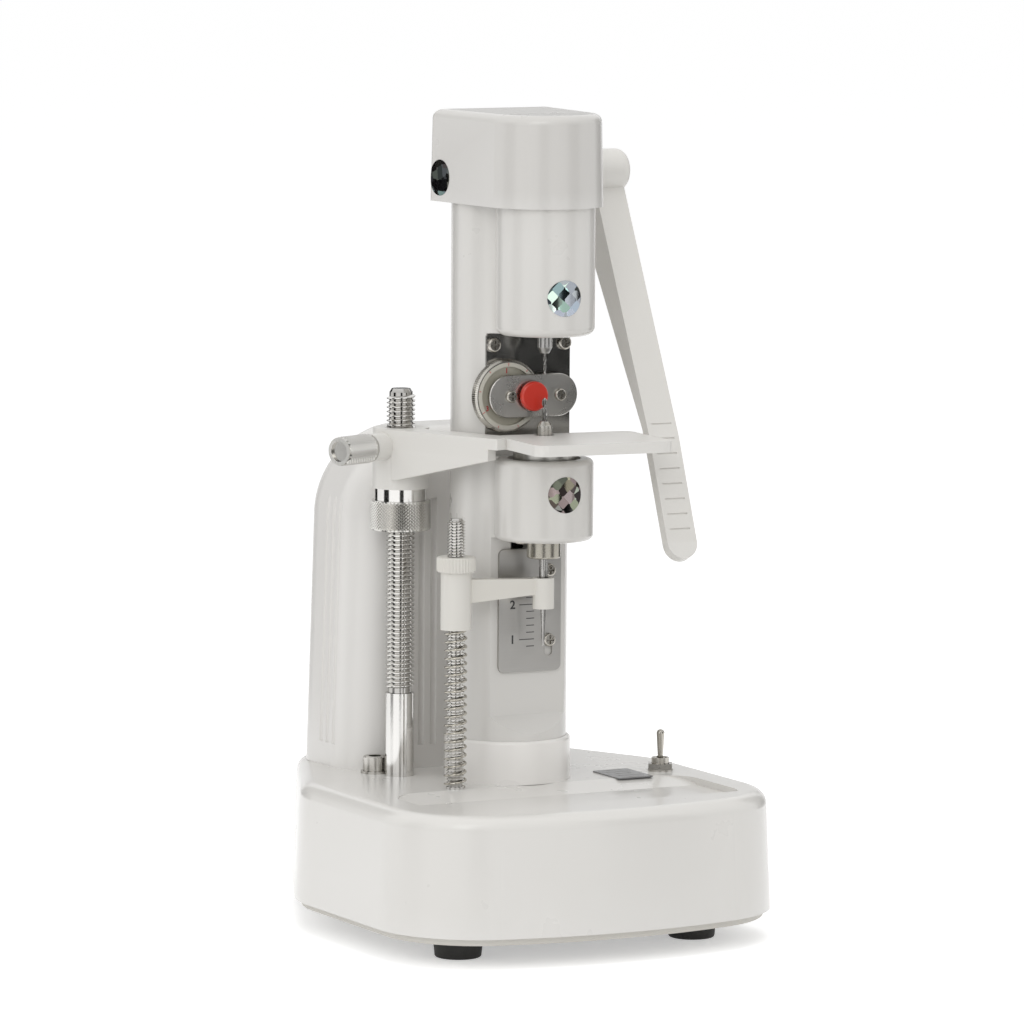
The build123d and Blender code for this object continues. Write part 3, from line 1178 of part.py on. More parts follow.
def switch_body_part():
    half_x, half_y = SWITCH_BODY_X / 2, SWITCH_BODY_Y / 2
    low = TOP_UNDER - SWITCH_BODY_H
    body = block(SWITCH_X - half_x, SWITCH_X + half_x, SWITCH_Y - half_y, SWITCH_Y + half_y, low, TOP_UNDER)
    body = fillet(body.edges().filter_by(Axis.Z), 0.6)
    for step in (-TAG_PITCH, 0, TAG_PITCH):
        tag_y = SWITCH_Y + step
        body += block(SWITCH_X - 1, SWITCH_X + 1, tag_y - 0.4, tag_y + 0.4, low - 4, low)
    body += rod(SWITCH_BUSH_R, TOP_UNDER, SWITCH_BUSH_TOP, SWITCH_X, SWITCH_Y)
    body -= taper_rod(1.0, 2.4, DECK_Z + 0.5, SWITCH_BUSH_TOP, SWITCH_X, SWITCH_Y)
    body -= Pos(SWITCH_X, SWITCH_Y, SWITCH_PIVOT_Z) * Sphere(BAT_BALL_R + RUN)
    reach = BAT_PIN_REACH + RUN
    return body - rod_x(BAT_PIN_R + RUN, SWITCH_X - reach, SWITCH_X + reach, SWITCH_Y, SWITCH_PIVOT_Z)


def switch_nut_part():
    z0, z1 = DECK_Z + SWITCH_WASHER_T, DECK_Z + SWITCH_WASHER_T + 2
    washer = rod(4.3, DECK_Z, z0, SWITCH_X, SWITCH_Y)
    nut = hexagon(SWITCH_NUT_FLATS, z0, z1, SWITCH_X, SWITCH_Y)
    bore = rod(SWITCH_BUSH_R + SCREW_FIT, DECK_Z, z1, SWITCH_X, SWITCH_Y)
    return Compound([washer - bore, nut - bore])


def switch_lever_part():
    """The bat on its ball, with a small pin through the ball that it tilts about."""
    tip_z = SWITCH_BUSH_TOP + BAT_LEN - BAT_TIP_R
    bat = taper_rod(0.75, BAT_TIP_R, SWITCH_PIVOT_Z, tip_z, SWITCH_X, SWITCH_Y)
    bat += Pos(SWITCH_X, SWITCH_Y, tip_z) * Sphere(BAT_TIP_R)
    bat += Pos(SWITCH_X, SWITCH_Y, SWITCH_PIVOT_Z) * Sphere(BAT_BALL_R)
    pin = rod_x(BAT_PIN_R, SWITCH_X - BAT_PIN_REACH, SWITCH_X + BAT_PIN_REACH, SWITCH_Y, SWITCH_PIVOT_Z)
    return bat + pin


def switch_label_part():
    return Pos(LABEL_X, LABEL_Y, DECK_Z) * extrude(RectangleRounded(LABEL_W, LABEL_D, 0.8), LABEL_T)


def post_screw_part():
    x, y = POST_SCREW_X, POST_SCREW_Y
    z1 = DECK_Z + POST_WASHER_T
    washer = rod(POST_WASHER_R, DECK_Z, z1, x, y) - rod(POST_SCREW_R + SCREW_FIT, DECK_Z, z1, x, y)
    screw = socket_screw(POST_SCREW_R, POST_SCREW_HEAD_R, POST_SCREW_HEAD_H, SHELL_WALL + POST_WASHER_T)
    return Compound([washer, Pos(x, y, z1) * screw])


MAKERS = {
    "base_shell": base_shell_part,
    "base_plate": base_plate_part,
    "rubber_feet": rubber_feet_part,
    "foot_screws": foot_screws_part,
    "column": column_part,
    "pedestal": pedestal_part,
    "column_screws": column_screws_part,
    "top_cap": top_cap_part,
    "bearing_frame": bearing_frame_part,
    "cap_screw": cap_screw_part,
    "frame_screws": frame_screws_part,
    "shaft_bushes": shaft_bushes_part,
    "lever_shaft": lever_shaft_part,
    "drive_arm": drive_arm_part,
    "shaft_grub_screws": grub_screws_part,
    "lever": lever_part,
    "motor_carriage": motor_carriage_part,
    "carriage_pin": carriage_pin_part,
    "carriage_screw": carriage_screw_part,
    "guide_rods": guide_rods_part,
    "return_springs": return_springs_part,
    "upper_motor": upper_motor_part,
    "upper_chuck": upper_chuck_part,
    "upper_drill": upper_drill_part,
    "lower_motor": lower_motor_part,
    "motor_screws": motor_screws_part,
    "motor_grub_screw": motor_grub_part,
    "lower_spindle": lower_spindle_part,
    "lower_drill": lower_drill_part,
    "reamer": reamer_part,
    "guide_plate": guide_plate_part,
    "guide_plate_screws": guide_plate_screws_part,
    "dial": dial_part,
    "bracket_spacers": bracket_spacers_part,
    "stop_bracket": stop_bracket_part,
    "bracket_screws": bracket_screws_part,
    "stop_button": stop_button_part,
    "scale_plate": scale_plate_part,
    "scale_screws": scale_screws_part,
    "foil_dots": dots_part,
    "table_arm": table_arm_part,
    "support_collar": support_collar_part,
    "thumb_screw": thumb_screw_part,
    "height_nut": height_nut_part,
    "table_post": table_post_part,
    "stop_post": stop_post_part,
    "post_nuts": post_nuts_part,
    "stop_spring": stop_spring_part,
    "stop_arm": stop_arm_part,
    "stop_nut": stop_nut_part,
    "post_screw": post_screw_part,
    "rear_housing": rear_housing_part,
    "housing_screws": housing_screws_part,
    "cable_gland": cable_gland_part,
    "transformer": transformer_part,
    "circuit_board": circuit_board_part,
    "switch_body": switch_body_part,
    "switch_nut": switch_nut_part,
    "switch_lever": switch_lever_part,
    "switch_label": switch_label_part,
}

os.makedirs("parts", exist_ok=True)
for name, make in MAKERS.items():
    export_step(make(), f"parts/{name}.step")
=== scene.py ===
import json
import math

import bpy
from mathutils import Matrix, Vector

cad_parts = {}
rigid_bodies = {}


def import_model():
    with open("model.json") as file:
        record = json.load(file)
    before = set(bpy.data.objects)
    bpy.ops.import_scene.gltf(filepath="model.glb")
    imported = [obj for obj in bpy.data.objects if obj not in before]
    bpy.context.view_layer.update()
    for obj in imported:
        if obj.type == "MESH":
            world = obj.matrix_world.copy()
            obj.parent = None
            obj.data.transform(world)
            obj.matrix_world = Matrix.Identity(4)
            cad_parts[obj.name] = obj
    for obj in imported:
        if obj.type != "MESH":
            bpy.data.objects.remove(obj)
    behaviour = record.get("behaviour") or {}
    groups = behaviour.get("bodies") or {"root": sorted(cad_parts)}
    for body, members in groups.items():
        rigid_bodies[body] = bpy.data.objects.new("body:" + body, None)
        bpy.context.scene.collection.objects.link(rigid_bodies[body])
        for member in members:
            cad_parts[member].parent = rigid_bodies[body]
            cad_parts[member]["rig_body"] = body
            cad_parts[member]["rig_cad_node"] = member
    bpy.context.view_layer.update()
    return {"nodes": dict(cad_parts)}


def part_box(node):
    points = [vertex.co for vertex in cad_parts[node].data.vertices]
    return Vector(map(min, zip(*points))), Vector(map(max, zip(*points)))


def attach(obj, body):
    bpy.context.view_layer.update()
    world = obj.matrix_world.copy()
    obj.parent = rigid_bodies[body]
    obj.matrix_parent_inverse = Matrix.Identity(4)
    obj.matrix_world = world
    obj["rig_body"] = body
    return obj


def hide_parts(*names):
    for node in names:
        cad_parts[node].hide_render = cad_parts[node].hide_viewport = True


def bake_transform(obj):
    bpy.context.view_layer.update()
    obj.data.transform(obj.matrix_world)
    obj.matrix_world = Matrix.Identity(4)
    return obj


# Sizes are in metres, with Z up and the front of the machine facing -Y.

mm = 0.001
touch = 0.001 * mm  # points closer than this are one point
hair = 0.01 * mm  # how far from a height a point may lie and still count as there
boreSlack = 0.05 * mm  # the same for a point on a bore's wall

for old in list(bpy.data.objects):
    bpy.data.objects.remove(old)
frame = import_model()
nodes = frame["nodes"]
print("frame loaded:", len(nodes), "nodes")


# Small helpers

def startFresh():
    if bpy.context.object and bpy.context.object.mode != "OBJECT":
        bpy.ops.object.mode_set(mode="OBJECT")
    bpy.ops.object.select_all(action="DESELECT")


def takeUp(piece):
    startFresh()
    piece.select_set(True)
    bpy.context.view_layer.objects.active = piece


def editAll(piece):
    takeUp(piece)
    bpy.ops.object.mode_set(mode="EDIT")
    bpy.ops.mesh.select_all(action="SELECT")


def leaveEdit():
    bpy.ops.object.mode_set(mode="OBJECT")


def middle(node):
    low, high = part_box(node)
    return (low + high) / 2


def settle(piece, turn=None, place=(0, 0, 0)):
    # the finished piece sits at the origin with its place in its mesh
    takeUp(piece)
    if turn is not None:
        piece.rotation_mode = "QUATERNION"
        piece.rotation_quaternion = turn
    piece.location = Vector(place)
    bpy.ops.object.transform_apply(location=True, rotation=True, scale=True)
    piece.select_set(False)


def applyAll(piece):
    takeUp(piece)
    for modifier in list(piece.modifiers):
        bpy.ops.object.modifier_apply(modifier=modifier.name)


def chooseVerts(piece, wanted):
    # edit mode with only the wanted vertices chosen
    bpy.context.view_layer.objects.active = piece
    bpy.ops.object.mode_set(mode="EDIT")
    bpy.ops.mesh.select_mode(type="VERT")
    bpy.ops.mesh.select_all(action="DESELECT")
    leaveEdit()
    for vertex in piece.data.vertices:
        vertex.select = wanted(vertex.co)
    bpy.ops.object.mode_set(mode="EDIT")


def chooseLevel(piece, z):
    chooseVerts(piece, lambda co: abs(co.z - z) < hair)


def extrudeUp(rise):
    # the chosen edges or faces are drawn out along Z
    bpy.ops.mesh.extrude_region_move(TRANSFORM_OT_translate={"value": (0, 0, rise)})


def resizeAcross(share, z=0.0):
    bpy.ops.transform.resize(value=(share, share, 1), center_override=(0, 0, z))


def tidyNormals(piece):
    editAll(piece)
    bpy.ops.mesh.remove_doubles(threshold=touch)
    bpy.ops.mesh.normals_make_consistent(inside=False)
    leaveEdit()


def smoothByAngle(piece, degrees):
    takeUp(piece)
    bpy.ops.object.shade_smooth_by_angle(angle=math.radians(degrees))
    piece.select_set(False)


# Shader node groups

def newGroup(name, inputs, outputs):
    group = bpy.data.node_groups.new(name, "ShaderNodeTree")
    for socketName, kind, value in inputs:
        socket = group.interface.new_socket(socketName, in_out="INPUT", socket_type=kind)
        socket.default_value = value
    for socketName, kind in outputs:
        group.interface.new_socket(socketName, in_out="OUTPUT", socket_type=kind)
    start = group.nodes.new("NodeGroupInput")
    end = group.nodes.new("NodeGroupOutput")
    return group, start, end


def addNode(tree, kind, settings=None, links=None):
    node = tree.nodes.new(kind)
    for key, value in (settings or {}).items():
        if isinstance(key, str) and hasattr(node, key):
            setattr(node, key, value)
        else:
            node.inputs[key].default_value = value
    for key, source in (links or {}).items():
        tree.links.new(source, node.inputs[key])
    return node


def buildMottle():
    # slow colour change, fine specks of dust and a roughness that follows the slow change
    group, start, end = newGroup(
        "handMottle",
        [
            ("Color", "NodeSocketColor", (0.8, 0.8, 0.8, 1)),
            ("Dirt", "NodeSocketColor", (0.5, 0.47, 0.4, 1)),
            ("Patch Scale", "NodeSocketFloat", 30.0),
            ("Patch", "NodeSocketFloat", 0.05),
            ("Specks", "NodeSocketFloat", 0.2),
            ("Rough Low", "NodeSocketFloat", 0.2),
            ("Rough High", "NodeSocketFloat", 0.35),
        ],
        [("Color", "NodeSocketColor"), ("Roughness", "NodeSocketFloat")],
    )
    where = addNode(group, "ShaderNodeTexCoord")
    patches = addNode(group, "ShaderNodeTexNoise", {"Detail": 4.0, "Roughness": 0.6},
                      {"Vector": where.outputs["Object"], "Scale": start.outputs["Patch Scale"]})
    amount = addNode(group, "ShaderNodeMath", {"operation": "MULTIPLY"},
                     {0: patches.outputs["Fac"], 1: start.outputs["Patch"]})
    specks = addNode(group, "ShaderNodeTexNoise", {"Scale": 900.0, "Detail": 2.0},
                     {"Vector": where.outputs["Object"]})
    fewSpecks = addNode(group, "ShaderNodeMapRange", {"From Min": 0.70, "From Max": 0.80},
                        {"Value": specks.outputs["Fac"]})
    speckAmount = addNode(group, "ShaderNodeMath", {"operation": "MULTIPLY"},
                          {0: fewSpecks.outputs["Result"], 1: start.outputs["Specks"]})
    total = addNode(group, "ShaderNodeMath", {"operation": "ADD", "use_clamp": True},
                    {0: amount.outputs[0], 1: speckAmount.outputs[0]})
    blend = addNode(group, "ShaderNodeMix", {"data_type": "RGBA"},
                    {0: total.outputs[0], 6: start.outputs["Color"], 7: start.outputs["Dirt"]})
    rough = addNode(group, "ShaderNodeMapRange", {},
                    {"Value": patches.outputs["Fac"], "To Min": start.outputs["Rough Low"],
                     "To Max": start.outputs["Rough High"]})
    group.links.new(blend.outputs[2], end.inputs["Color"])
    group.links.new(rough.outputs["Result"], end.inputs["Roughness"])
    return group


def buildSkin():
    # the faint ripple of sprayed paint or moulded plastic, as a height
    group, start, end = newGroup(
        "sprayRipple",
        [("Scale", "NodeSocketFloat", 400.0)],
        [("Height", "NodeSocketFloat")],
    )
    where = addNode(group, "ShaderNodeTexCoord")
    waves = addNode(group, "ShaderNodeTexNoise", {"Detail": 2.0},
                    {"Vector": where.outputs["Object"], "Scale": start.outputs["Scale"]})
    group.links.new(waves.outputs["Fac"], end.inputs["Height"])
    return group


def buildBrush():
    # straight brush lines across one axis, as a colour mask and a height
    group, start, end = newGroup(
        "brushLines",
        [("Stretch", "NodeSocketVector", (40.0, 400.0, 4000.0))],
        [("Mask", "NodeSocketFloat"), ("Height", "NodeSocketFloat")],
    )
    where = addNode(group, "ShaderNodeTexCoord")
    drawn = addNode(group, "ShaderNodeVectorMath", {"operation": "MULTIPLY"},
                    {0: where.outputs["Object"], 1: start.outputs["Stretch"]})
    lines = addNode(group, "ShaderNodeTexNoise", {"Scale": 1.0, "Detail": 5.0, "Roughness": 0.65},
                    {"Vector": drawn.outputs[0]})
    mask = addNode(group, "ShaderNodeMapRange", {"From Min": 0.35, "From Max": 0.65},
                   {"Value": lines.outputs["Fac"]})
    group.links.new(mask.outputs["Result"], end.inputs["Mask"])
    group.links.new(lines.outputs["Fac"], end.inputs["Height"])
    return group


def buildEdge():
    # where an outer edge is sharp: rubbed wear, and a painted highlight where the edge catches the light
    group, start, end = newGroup(
        "edgeRub",
        [("Width", "NodeSocketFloat", 0.5), ("Amount", "NodeSocketFloat", 0.5)],
        [("Mask", "NodeSocketFloat")],
    )
    shape = addNode(group, "ShaderNodeNewGeometry")
    top = addNode(group, "ShaderNodeMath", {"operation": "ADD", 1: 0.5}, {0: start.outputs["Width"]})
    edge = addNode(group, "ShaderNodeMapRange", {"From Min": 0.52},
                   {"Value": shape.outputs["Pointiness"], "From Max": top.outputs[0]})
    mask = addNode(group, "ShaderNodeMath", {"operation": "MULTIPLY", "use_clamp": True},
                   {0: edge.outputs["Result"], 1: start.outputs["Amount"]})
    group.links.new(mask.outputs[0], end.inputs["Mask"])
    return group


def buildFacets():
    # small tilted squares of a prismatic foil, each with its own tint and slope
    group, start, end = newGroup(
        "prismFacets",
        [("Cell", "NodeSocketFloat", 420.0)],
        [("Color", "NodeSocketColor"), ("Slope", "NodeSocketVector")],
    )
    where = addNode(group, "ShaderNodeTexCoord")
    turned = addNode(group, "ShaderNodeMapping", {"Rotation": (0.3, 0.75, 0.2)},
                     {"Vector": where.outputs["Object"]})
    cells = addNode(group, "ShaderNodeTexVoronoi", {"distance": "CHEBYCHEV", "Randomness": 0.5},
                    {"Vector": turned.outputs[0], "Scale": start.outputs["Cell"]})
    apart = addNode(group, "ShaderNodeSeparateColor", {}, {0: cells.outputs["Color"]})
    hue = addNode(group, "ShaderNodeCombineColor", {"mode": "HSV", 1: 0.14},
                  {0: apart.outputs[0]})
    bright = addNode(group, "ShaderNodeMapRange",
                     {"From Min": 0.1, "From Max": 0.9, "To Min": 0.05, "To Max": 0.75},
                     {"Value": apart.outputs[1]})
    group.links.new(bright.outputs["Result"], hue.inputs[2])
    shape = addNode(group, "ShaderNodeNewGeometry")
    shifted = addNode(group, "ShaderNodeVectorMath", {"operation": "SUBTRACT", 1: (0.5, 0.5, 0.5)},
                      {0: cells.outputs["Color"]})
    smaller = addNode(group, "ShaderNodeVectorMath", {"operation": "SCALE", "Scale": 0.9},
                      {0: shifted.outputs[0]})
    added = addNode(group, "ShaderNodeVectorMath", {"operation": "ADD"},
                    {0: smaller.outputs[0], 1: shape.outputs["Normal"]})
    slope = addNode(group, "ShaderNodeVectorMath", {"operation": "NORMALIZE"}, {0: added.outputs[0]})
    group.links.new(hue.outputs[0], end.inputs["Color"])
    group.links.new(slope.outputs[0], end.inputs["Slope"])
    return group


mottle = buildMottle()
ripple = buildSkin()
brush = buildBrush()
edgeRub = buildEdge()
facets = buildFacets()
print("node groups ready")


# Materials

paintSkin = 0.2 * mm  # how deep the ripple goes
metalSkin = 0.05 * mm  # how deep the drawn lines go
edgeWidth = 0.08  # how far round an outer edge counts as rubbed and highlighted


def newMaterial(name, shader):
    material = bpy.data.materials.new(name)
    material.use_nodes = True
    tree = material.node_tree
    surface = tree.nodes["Principled BSDF"]
    for key, value in shader.items():
        surface.inputs[key].default_value = value
    return material, tree, surface


def useGroup(tree, group, values):
    node = tree.nodes.new("ShaderNodeGroup")
    node.node_tree = group
    for key, value in values.items():
        node.inputs[key].default_value = value
    return node


def bumpFrom(tree, surface, height, strength, distance):
    bump = addNode(tree, "ShaderNodeBump", {"Strength": strength, "Distance": distance}, {"Height": height})
    tree.links.new(bump.outputs["Normal"], surface.inputs["Normal"])


def rubbedHighlitEdges(tree, surface, color, amount, edgeColor):
    # sharp edges are lightened: a painted highlight, with some rubbed wear
    edge = useGroup(tree, edgeRub, {"Width": edgeWidth, "Amount": amount})
    lit = addNode(tree, "ShaderNodeMix", {"data_type": "RGBA", 7: edgeColor},
                  {0: edge.outputs["Mask"], 6: color})
    tree.links.new(lit.outputs[2], surface.inputs["Base Color"])


def paint(name, look):
    # enamel or moulded plastic: mottled colour, faint ripple, lighter edges that are part rubbed wear and
    # part painted highlight
    material, tree, surface = newMaterial(name, {
        "IOR": 1.5, "Specular IOR Level": 0.5,
        "Coat Weight": look["coat"], "Coat Roughness": look["coatRough"],
    })
    base = useGroup(tree, mottle, {
        "Color": look["color"], "Dirt": look["dirt"], "Patch": look["patch"], "Specks": look["specks"],
        "Rough Low": look["rough"][0], "Rough High": look["rough"][1],
    })
    rubbedHighlitEdges(tree, surface, base.outputs["Color"], look["edge"], look["edgeColor"])
    tree.links.new(base.outputs["Roughness"], surface.inputs["Roughness"])
    skin = useGroup(tree, ripple, {"Scale": look["ripple"]})
    bumpFrom(tree, surface, skin.outputs["Height"], look["bump"], paintSkin)
    return material


def metal(name, look):
    # plated, turned or brushed metal: drawn lines, slightly uneven gloss, ridges lightened by a painted
    # highlight and rubbed wear
    material, tree, surface = newMaterial(name, {"Metallic": 1.0, "Specular IOR Level": 0.5})
    base = useGroup(tree, mottle, {
        "Color": look["color"], "Dirt": look["dirt"], "Patch": look["patch"], "Specks": look["specks"],
        "Patch Scale": 140.0, "Rough Low": look["rough"][0], "Rough High": look["rough"][1],
    })
    lines = useGroup(tree, brush, {"Stretch": look["stretch"]})
    darker = addNode(tree, "ShaderNodeMix", {"data_type": "RGBA", 7: look["lineColor"]},
                     {6: base.outputs["Color"]})
    share = addNode(tree, "ShaderNodeMath", {"operation": "MULTIPLY", 1: look["lines"]},
                    {0: lines.outputs["Mask"]})
    tree.links.new(share.outputs[0], darker.inputs[0])
    rubbedHighlitEdges(tree, surface, darker.outputs[2], look["ridge"], look["ridgeRubHighlightColor"])
    tree.links.new(base.outputs["Roughness"], surface.inputs["Roughness"])
    bumpFrom(tree, surface, lines.outputs["Height"], look["bump"], metalSkin)
    return material


# the edge colour is a painted highlight on sharp edges, with some rubbed wear
whiteGloss = {
    "color": (0.70, 0.685, 0.655, 1), "dirt": (0.56, 0.54, 0.50, 1), "patch": 0.04, "specks": 0.0,
    "rough": (0.22, 0.36), "edge": 0.2, "edgeColor": (0.80, 0.79, 0.77, 1),
    "coat": 0.4, "coatRough": 0.16, "ripple": 110.0, "bump": 0.02,
}
looks = {
    "paintedWhite": dict(whiteGloss, color=(0.715, 0.70, 0.67, 1)),
    # the column and the cap are the base's white paint made darker: painted shade
    "columnWhitePaintedShade": dict(whiteGloss, color=(0.63, 0.615, 0.585, 1)),
    "capWhitePaintedShade": dict(whiteGloss, color=(0.60, 0.585, 0.56, 1)),
    # the pedestal ring is the white paint made brighter: painted light against the shadow round it
    "ringWhitePaintedLight": dict(whiteGloss, color=(0.84, 0.82, 0.79, 1)),
    "housingWhite": dict(whiteGloss, color=(0.72, 0.705, 0.68, 1), rough=(0.30, 0.45), coat=0.3,
                         bump=0.05),
    "creamPaint": dict(whiteGloss, color=(0.70, 0.685, 0.65, 1), dirt=(0.50, 0.46, 0.40, 1), specks=0.03,
                       rough=(0.34, 0.50), coat=0.15, coatRough=0.25, ripple=320.0),
    "creamPlastic": dict(whiteGloss, color=(0.66, 0.64, 0.59, 1), dirt=(0.50, 0.45, 0.36, 1), specks=0.06,
                         rough=(0.36, 0.52), coat=0.0, ripple=420.0),
    "beigePlate": dict(whiteGloss, color=(0.64, 0.62, 0.57, 1), specks=0.05, rough=(0.45, 0.6), coat=0.0),
    "blackRubber": dict(whiteGloss, color=(0.018, 0.018, 0.017, 1), dirt=(0.10, 0.095, 0.085, 1),
                        patch=0.25, rough=(0.55, 0.75), edge=0.3, edgeColor=(0.07, 0.07, 0.07, 1),
                        coat=0.0, ripple=900.0, bump=0.35),
    "redPlastic": dict(whiteGloss, color=(0.62, 0.028, 0.012, 1), dirt=(0.30, 0.02, 0.01, 1), patch=0.2,
                       rough=(0.24, 0.36), edge=0.4, edgeColor=(0.78, 0.10, 0.05, 1), coat=0.5),
    "dialWhite": dict(whiteGloss, color=(0.44, 0.42, 0.345, 1), rough=(0.4, 0.5), coat=0.1),
    "blackPlastic": dict(whiteGloss, color=(0.022, 0.022, 0.022, 1), dirt=(0.07, 0.07, 0.07, 1),
                         patch=0.15, rough=(0.42, 0.58), edge=0.3, edgeColor=(0.08, 0.08, 0.08, 1),
                         coat=0.0, bump=0.25),
    "boardGreen": dict(whiteGloss, color=(0.02, 0.09, 0.04, 1), dirt=(0.01, 0.04, 0.02, 1), patch=0.4,
                       edgeColor=(0.20, 0.22, 0.10, 1)),
    "inkBlack": dict(whiteGloss, color=(0.03, 0.03, 0.03, 1), dirt=(0.08, 0.08, 0.08, 1), patch=0.3,
                     rough=(0.5, 0.6), edge=0.0, coat=0.0),
    "inkRed": dict(whiteGloss, color=(0.50, 0.03, 0.04, 1), dirt=(0.35, 0.05, 0.05, 1), patch=0.3,
                   rough=(0.5, 0.6), edge=0.0, coat=0.0),
    "labelGrey": dict(whiteGloss, color=(0.15, 0.15, 0.155, 1), dirt=(0.26, 0.26, 0.26, 1), patch=0.3,
                      rough=(0.3, 0.42), edgeColor=(0.3, 0.3, 0.3, 1), coat=0.2),
}
# the ridge colour is a painted highlight on sharp ridges and knurls, with some rubbed wear
brightMetal = {
    "color": (0.56, 0.56, 0.56, 1), "dirt": (0.30, 0.29, 0.27, 1), "patch": 0.25, "specks": 0.05,
    "rough": (0.12, 0.24), "stretch": (600.0, 600.0, 600.0), "lines": 0.2,
    "lineColor": (0.38, 0.38, 0.38, 1), "bump": 0.08, "ridge": 0.5, "ridgeRubHighlightColor": (0.62, 0.61, 0.59, 1),
}
metalLooks = {
    "chrome": dict(brightMetal, color=(0.46, 0.45, 0.43, 1), dirt=(0.26, 0.25, 0.23, 1), rough=(0.08, 0.17),
                   ridge=0.9, ridgeRubHighlightColor=(0.72, 0.71, 0.69, 1)),
    "knurledSteel": dict(brightMetal, color=(0.58, 0.57, 0.545, 1), dirt=(0.25, 0.24, 0.22, 1), lines=0.0,
                         rough=(0.14, 0.26), ridge=1.0, ridgeRubHighlightColor=(0.70, 0.69, 0.66, 1)),
    "steelBright": dict(brightMetal, color=(0.30, 0.295, 0.28, 1), dirt=(0.12, 0.115, 0.10, 1)),
    "drillSteel": dict(brightMetal, color=(0.16, 0.155, 0.145, 1), dirt=(0.06, 0.055, 0.05, 1),
                       rough=(0.2, 0.34)),
    "steelSpring": dict(brightMetal, color=(0.56, 0.53, 0.46, 1), rough=(0.14, 0.26)),
    "steelDark": dict(brightMetal, color=(0.06, 0.06, 0.06, 1), rough=(0.3, 0.45)),
    "nickelWarm": dict(brightMetal, color=(0.50, 0.475, 0.425, 1), dirt=(0.16, 0.14, 0.11, 1),
                       rough=(0.16, 0.30)),
    "darkChuck": dict(brightMetal, color=(0.20, 0.20, 0.195, 1), dirt=(0.09, 0.09, 0.085, 1),
                      rough=(0.2, 0.34)),
    "brassWorn": dict(brightMetal, color=(0.38, 0.36, 0.31, 1), dirt=(0.22, 0.19, 0.14, 1),
                      rough=(0.2, 0.34), stretch=(300.0, 300.0, 6000.0)),
    "bronze": dict(brightMetal, color=(0.42, 0.26, 0.12, 1), dirt=(0.2, 0.12, 0.05, 1), rough=(0.35, 0.5)),
    "millAluminium": dict(brightMetal, color=(0.60, 0.61, 0.62, 1), rough=(0.28, 0.4),
                          stretch=(100.0, 3000.0, 3000.0), lines=0.35),
    "plateBrushed": dict(brightMetal, color=(0.33, 0.315, 0.29, 1), dirt=(0.22, 0.21, 0.19, 1),
                         rough=(0.24, 0.36), stretch=(60.0, 60.0, 5000.0), lines=0.35,
                         lineColor=(0.25, 0.24, 0.22, 1), bump=0.14),
    "platePolished": dict(brightMetal, color=(0.145, 0.14, 0.122, 1), dirt=(0.07, 0.066, 0.058, 1),
                          rough=(0.13, 0.22), stretch=(60.0, 60.0, 4000.0),
                          lineColor=(0.09, 0.087, 0.08, 1)),
    "bracketSteel": dict(brightMetal, color=(0.42, 0.405, 0.37, 1), dirt=(0.28, 0.265, 0.24, 1),
                         rough=(0.22, 0.34), stretch=(60.0, 60.0, 5000.0), lines=0.3,
                         lineColor=(0.32, 0.305, 0.28, 1), bump=0.12),
    "motorSteel": dict(brightMetal, color=(0.48, 0.47, 0.44, 1), rough=(0.25, 0.4)),
    "coreSteel": dict(brightMetal, color=(0.12, 0.11, 0.10, 1), rough=(0.4, 0.55),
                      stretch=(50.0, 6000.0, 50.0), lines=0.6, lineColor=(0.03, 0.03, 0.03, 1), bump=0.3),
}
materials = {name: paint(name, look) for name, look in looks.items()}
materials.update({name: metal(name, look) for name, look in metalLooks.items()})

# each dot's tint is a painted reflection of the same foil: warm grey on the lower head, bright cyan on the
# upper head, dark on the cap; each tint starts at its share of the way from one height to the other
foilLook = {"cell": 330.0, "from": 0.12, "to": 0.28, "paintedReflectionTints": [
    (0.0, (0.50, 0.47, 0.40, 1)),  # the dot on the lower head
    (0.4, (0.80, 1.0, 1.0, 1)),  # the dot on the upper head
    (0.8, (0.30, 0.30, 0.30, 1)),  # the dot on the cap
]}


def buildFoil():
    material, tree, surface = newMaterial("prismFoil", {"Metallic": 1.0, "Roughness": 0.16,
                                                        "Specular IOR Level": 0.5})
    cells = useGroup(tree, facets, {"Cell": foilLook["cell"]})
    where = addNode(tree, "ShaderNodeTexCoord")
    apart = addNode(tree, "ShaderNodeSeparateXYZ", {}, {0: where.outputs["Object"]})
    height = addNode(tree, "ShaderNodeMapRange",
                     {"From Min": foilLook["from"], "From Max": foilLook["to"]},
                     {"Value": apart.outputs["Z"]})
    # the tint picked by height paints each dot's reflection
    reflectionTint = addNode(tree, "ShaderNodeValToRGB", {}, {"Fac": height.outputs["Result"]})
    reflectionTint.color_ramp.interpolation = "CONSTANT"
    reflectionTint.color_ramp.elements.new(0.5)  # a third stop, whose place is set below
    for stop, (place, color) in zip(reflectionTint.color_ramp.elements, foilLook["paintedReflectionTints"]):
        stop.position = place
        stop.color = color
    reflectionTinted = addNode(tree, "ShaderNodeMix", {"data_type": "RGBA", "blend_type": "MULTIPLY", 0: 1.0},
                     {6: cells.outputs["Color"], 7: reflectionTint.outputs["Color"]})
    tree.links.new(reflectionTinted.outputs[2], surface.inputs["Base Color"])
    tree.links.new(cells.outputs["Slope"], surface.inputs["Normal"])
    return material


materials["prismFoil"] = buildFoil()
print("materials ready:", len(materials))

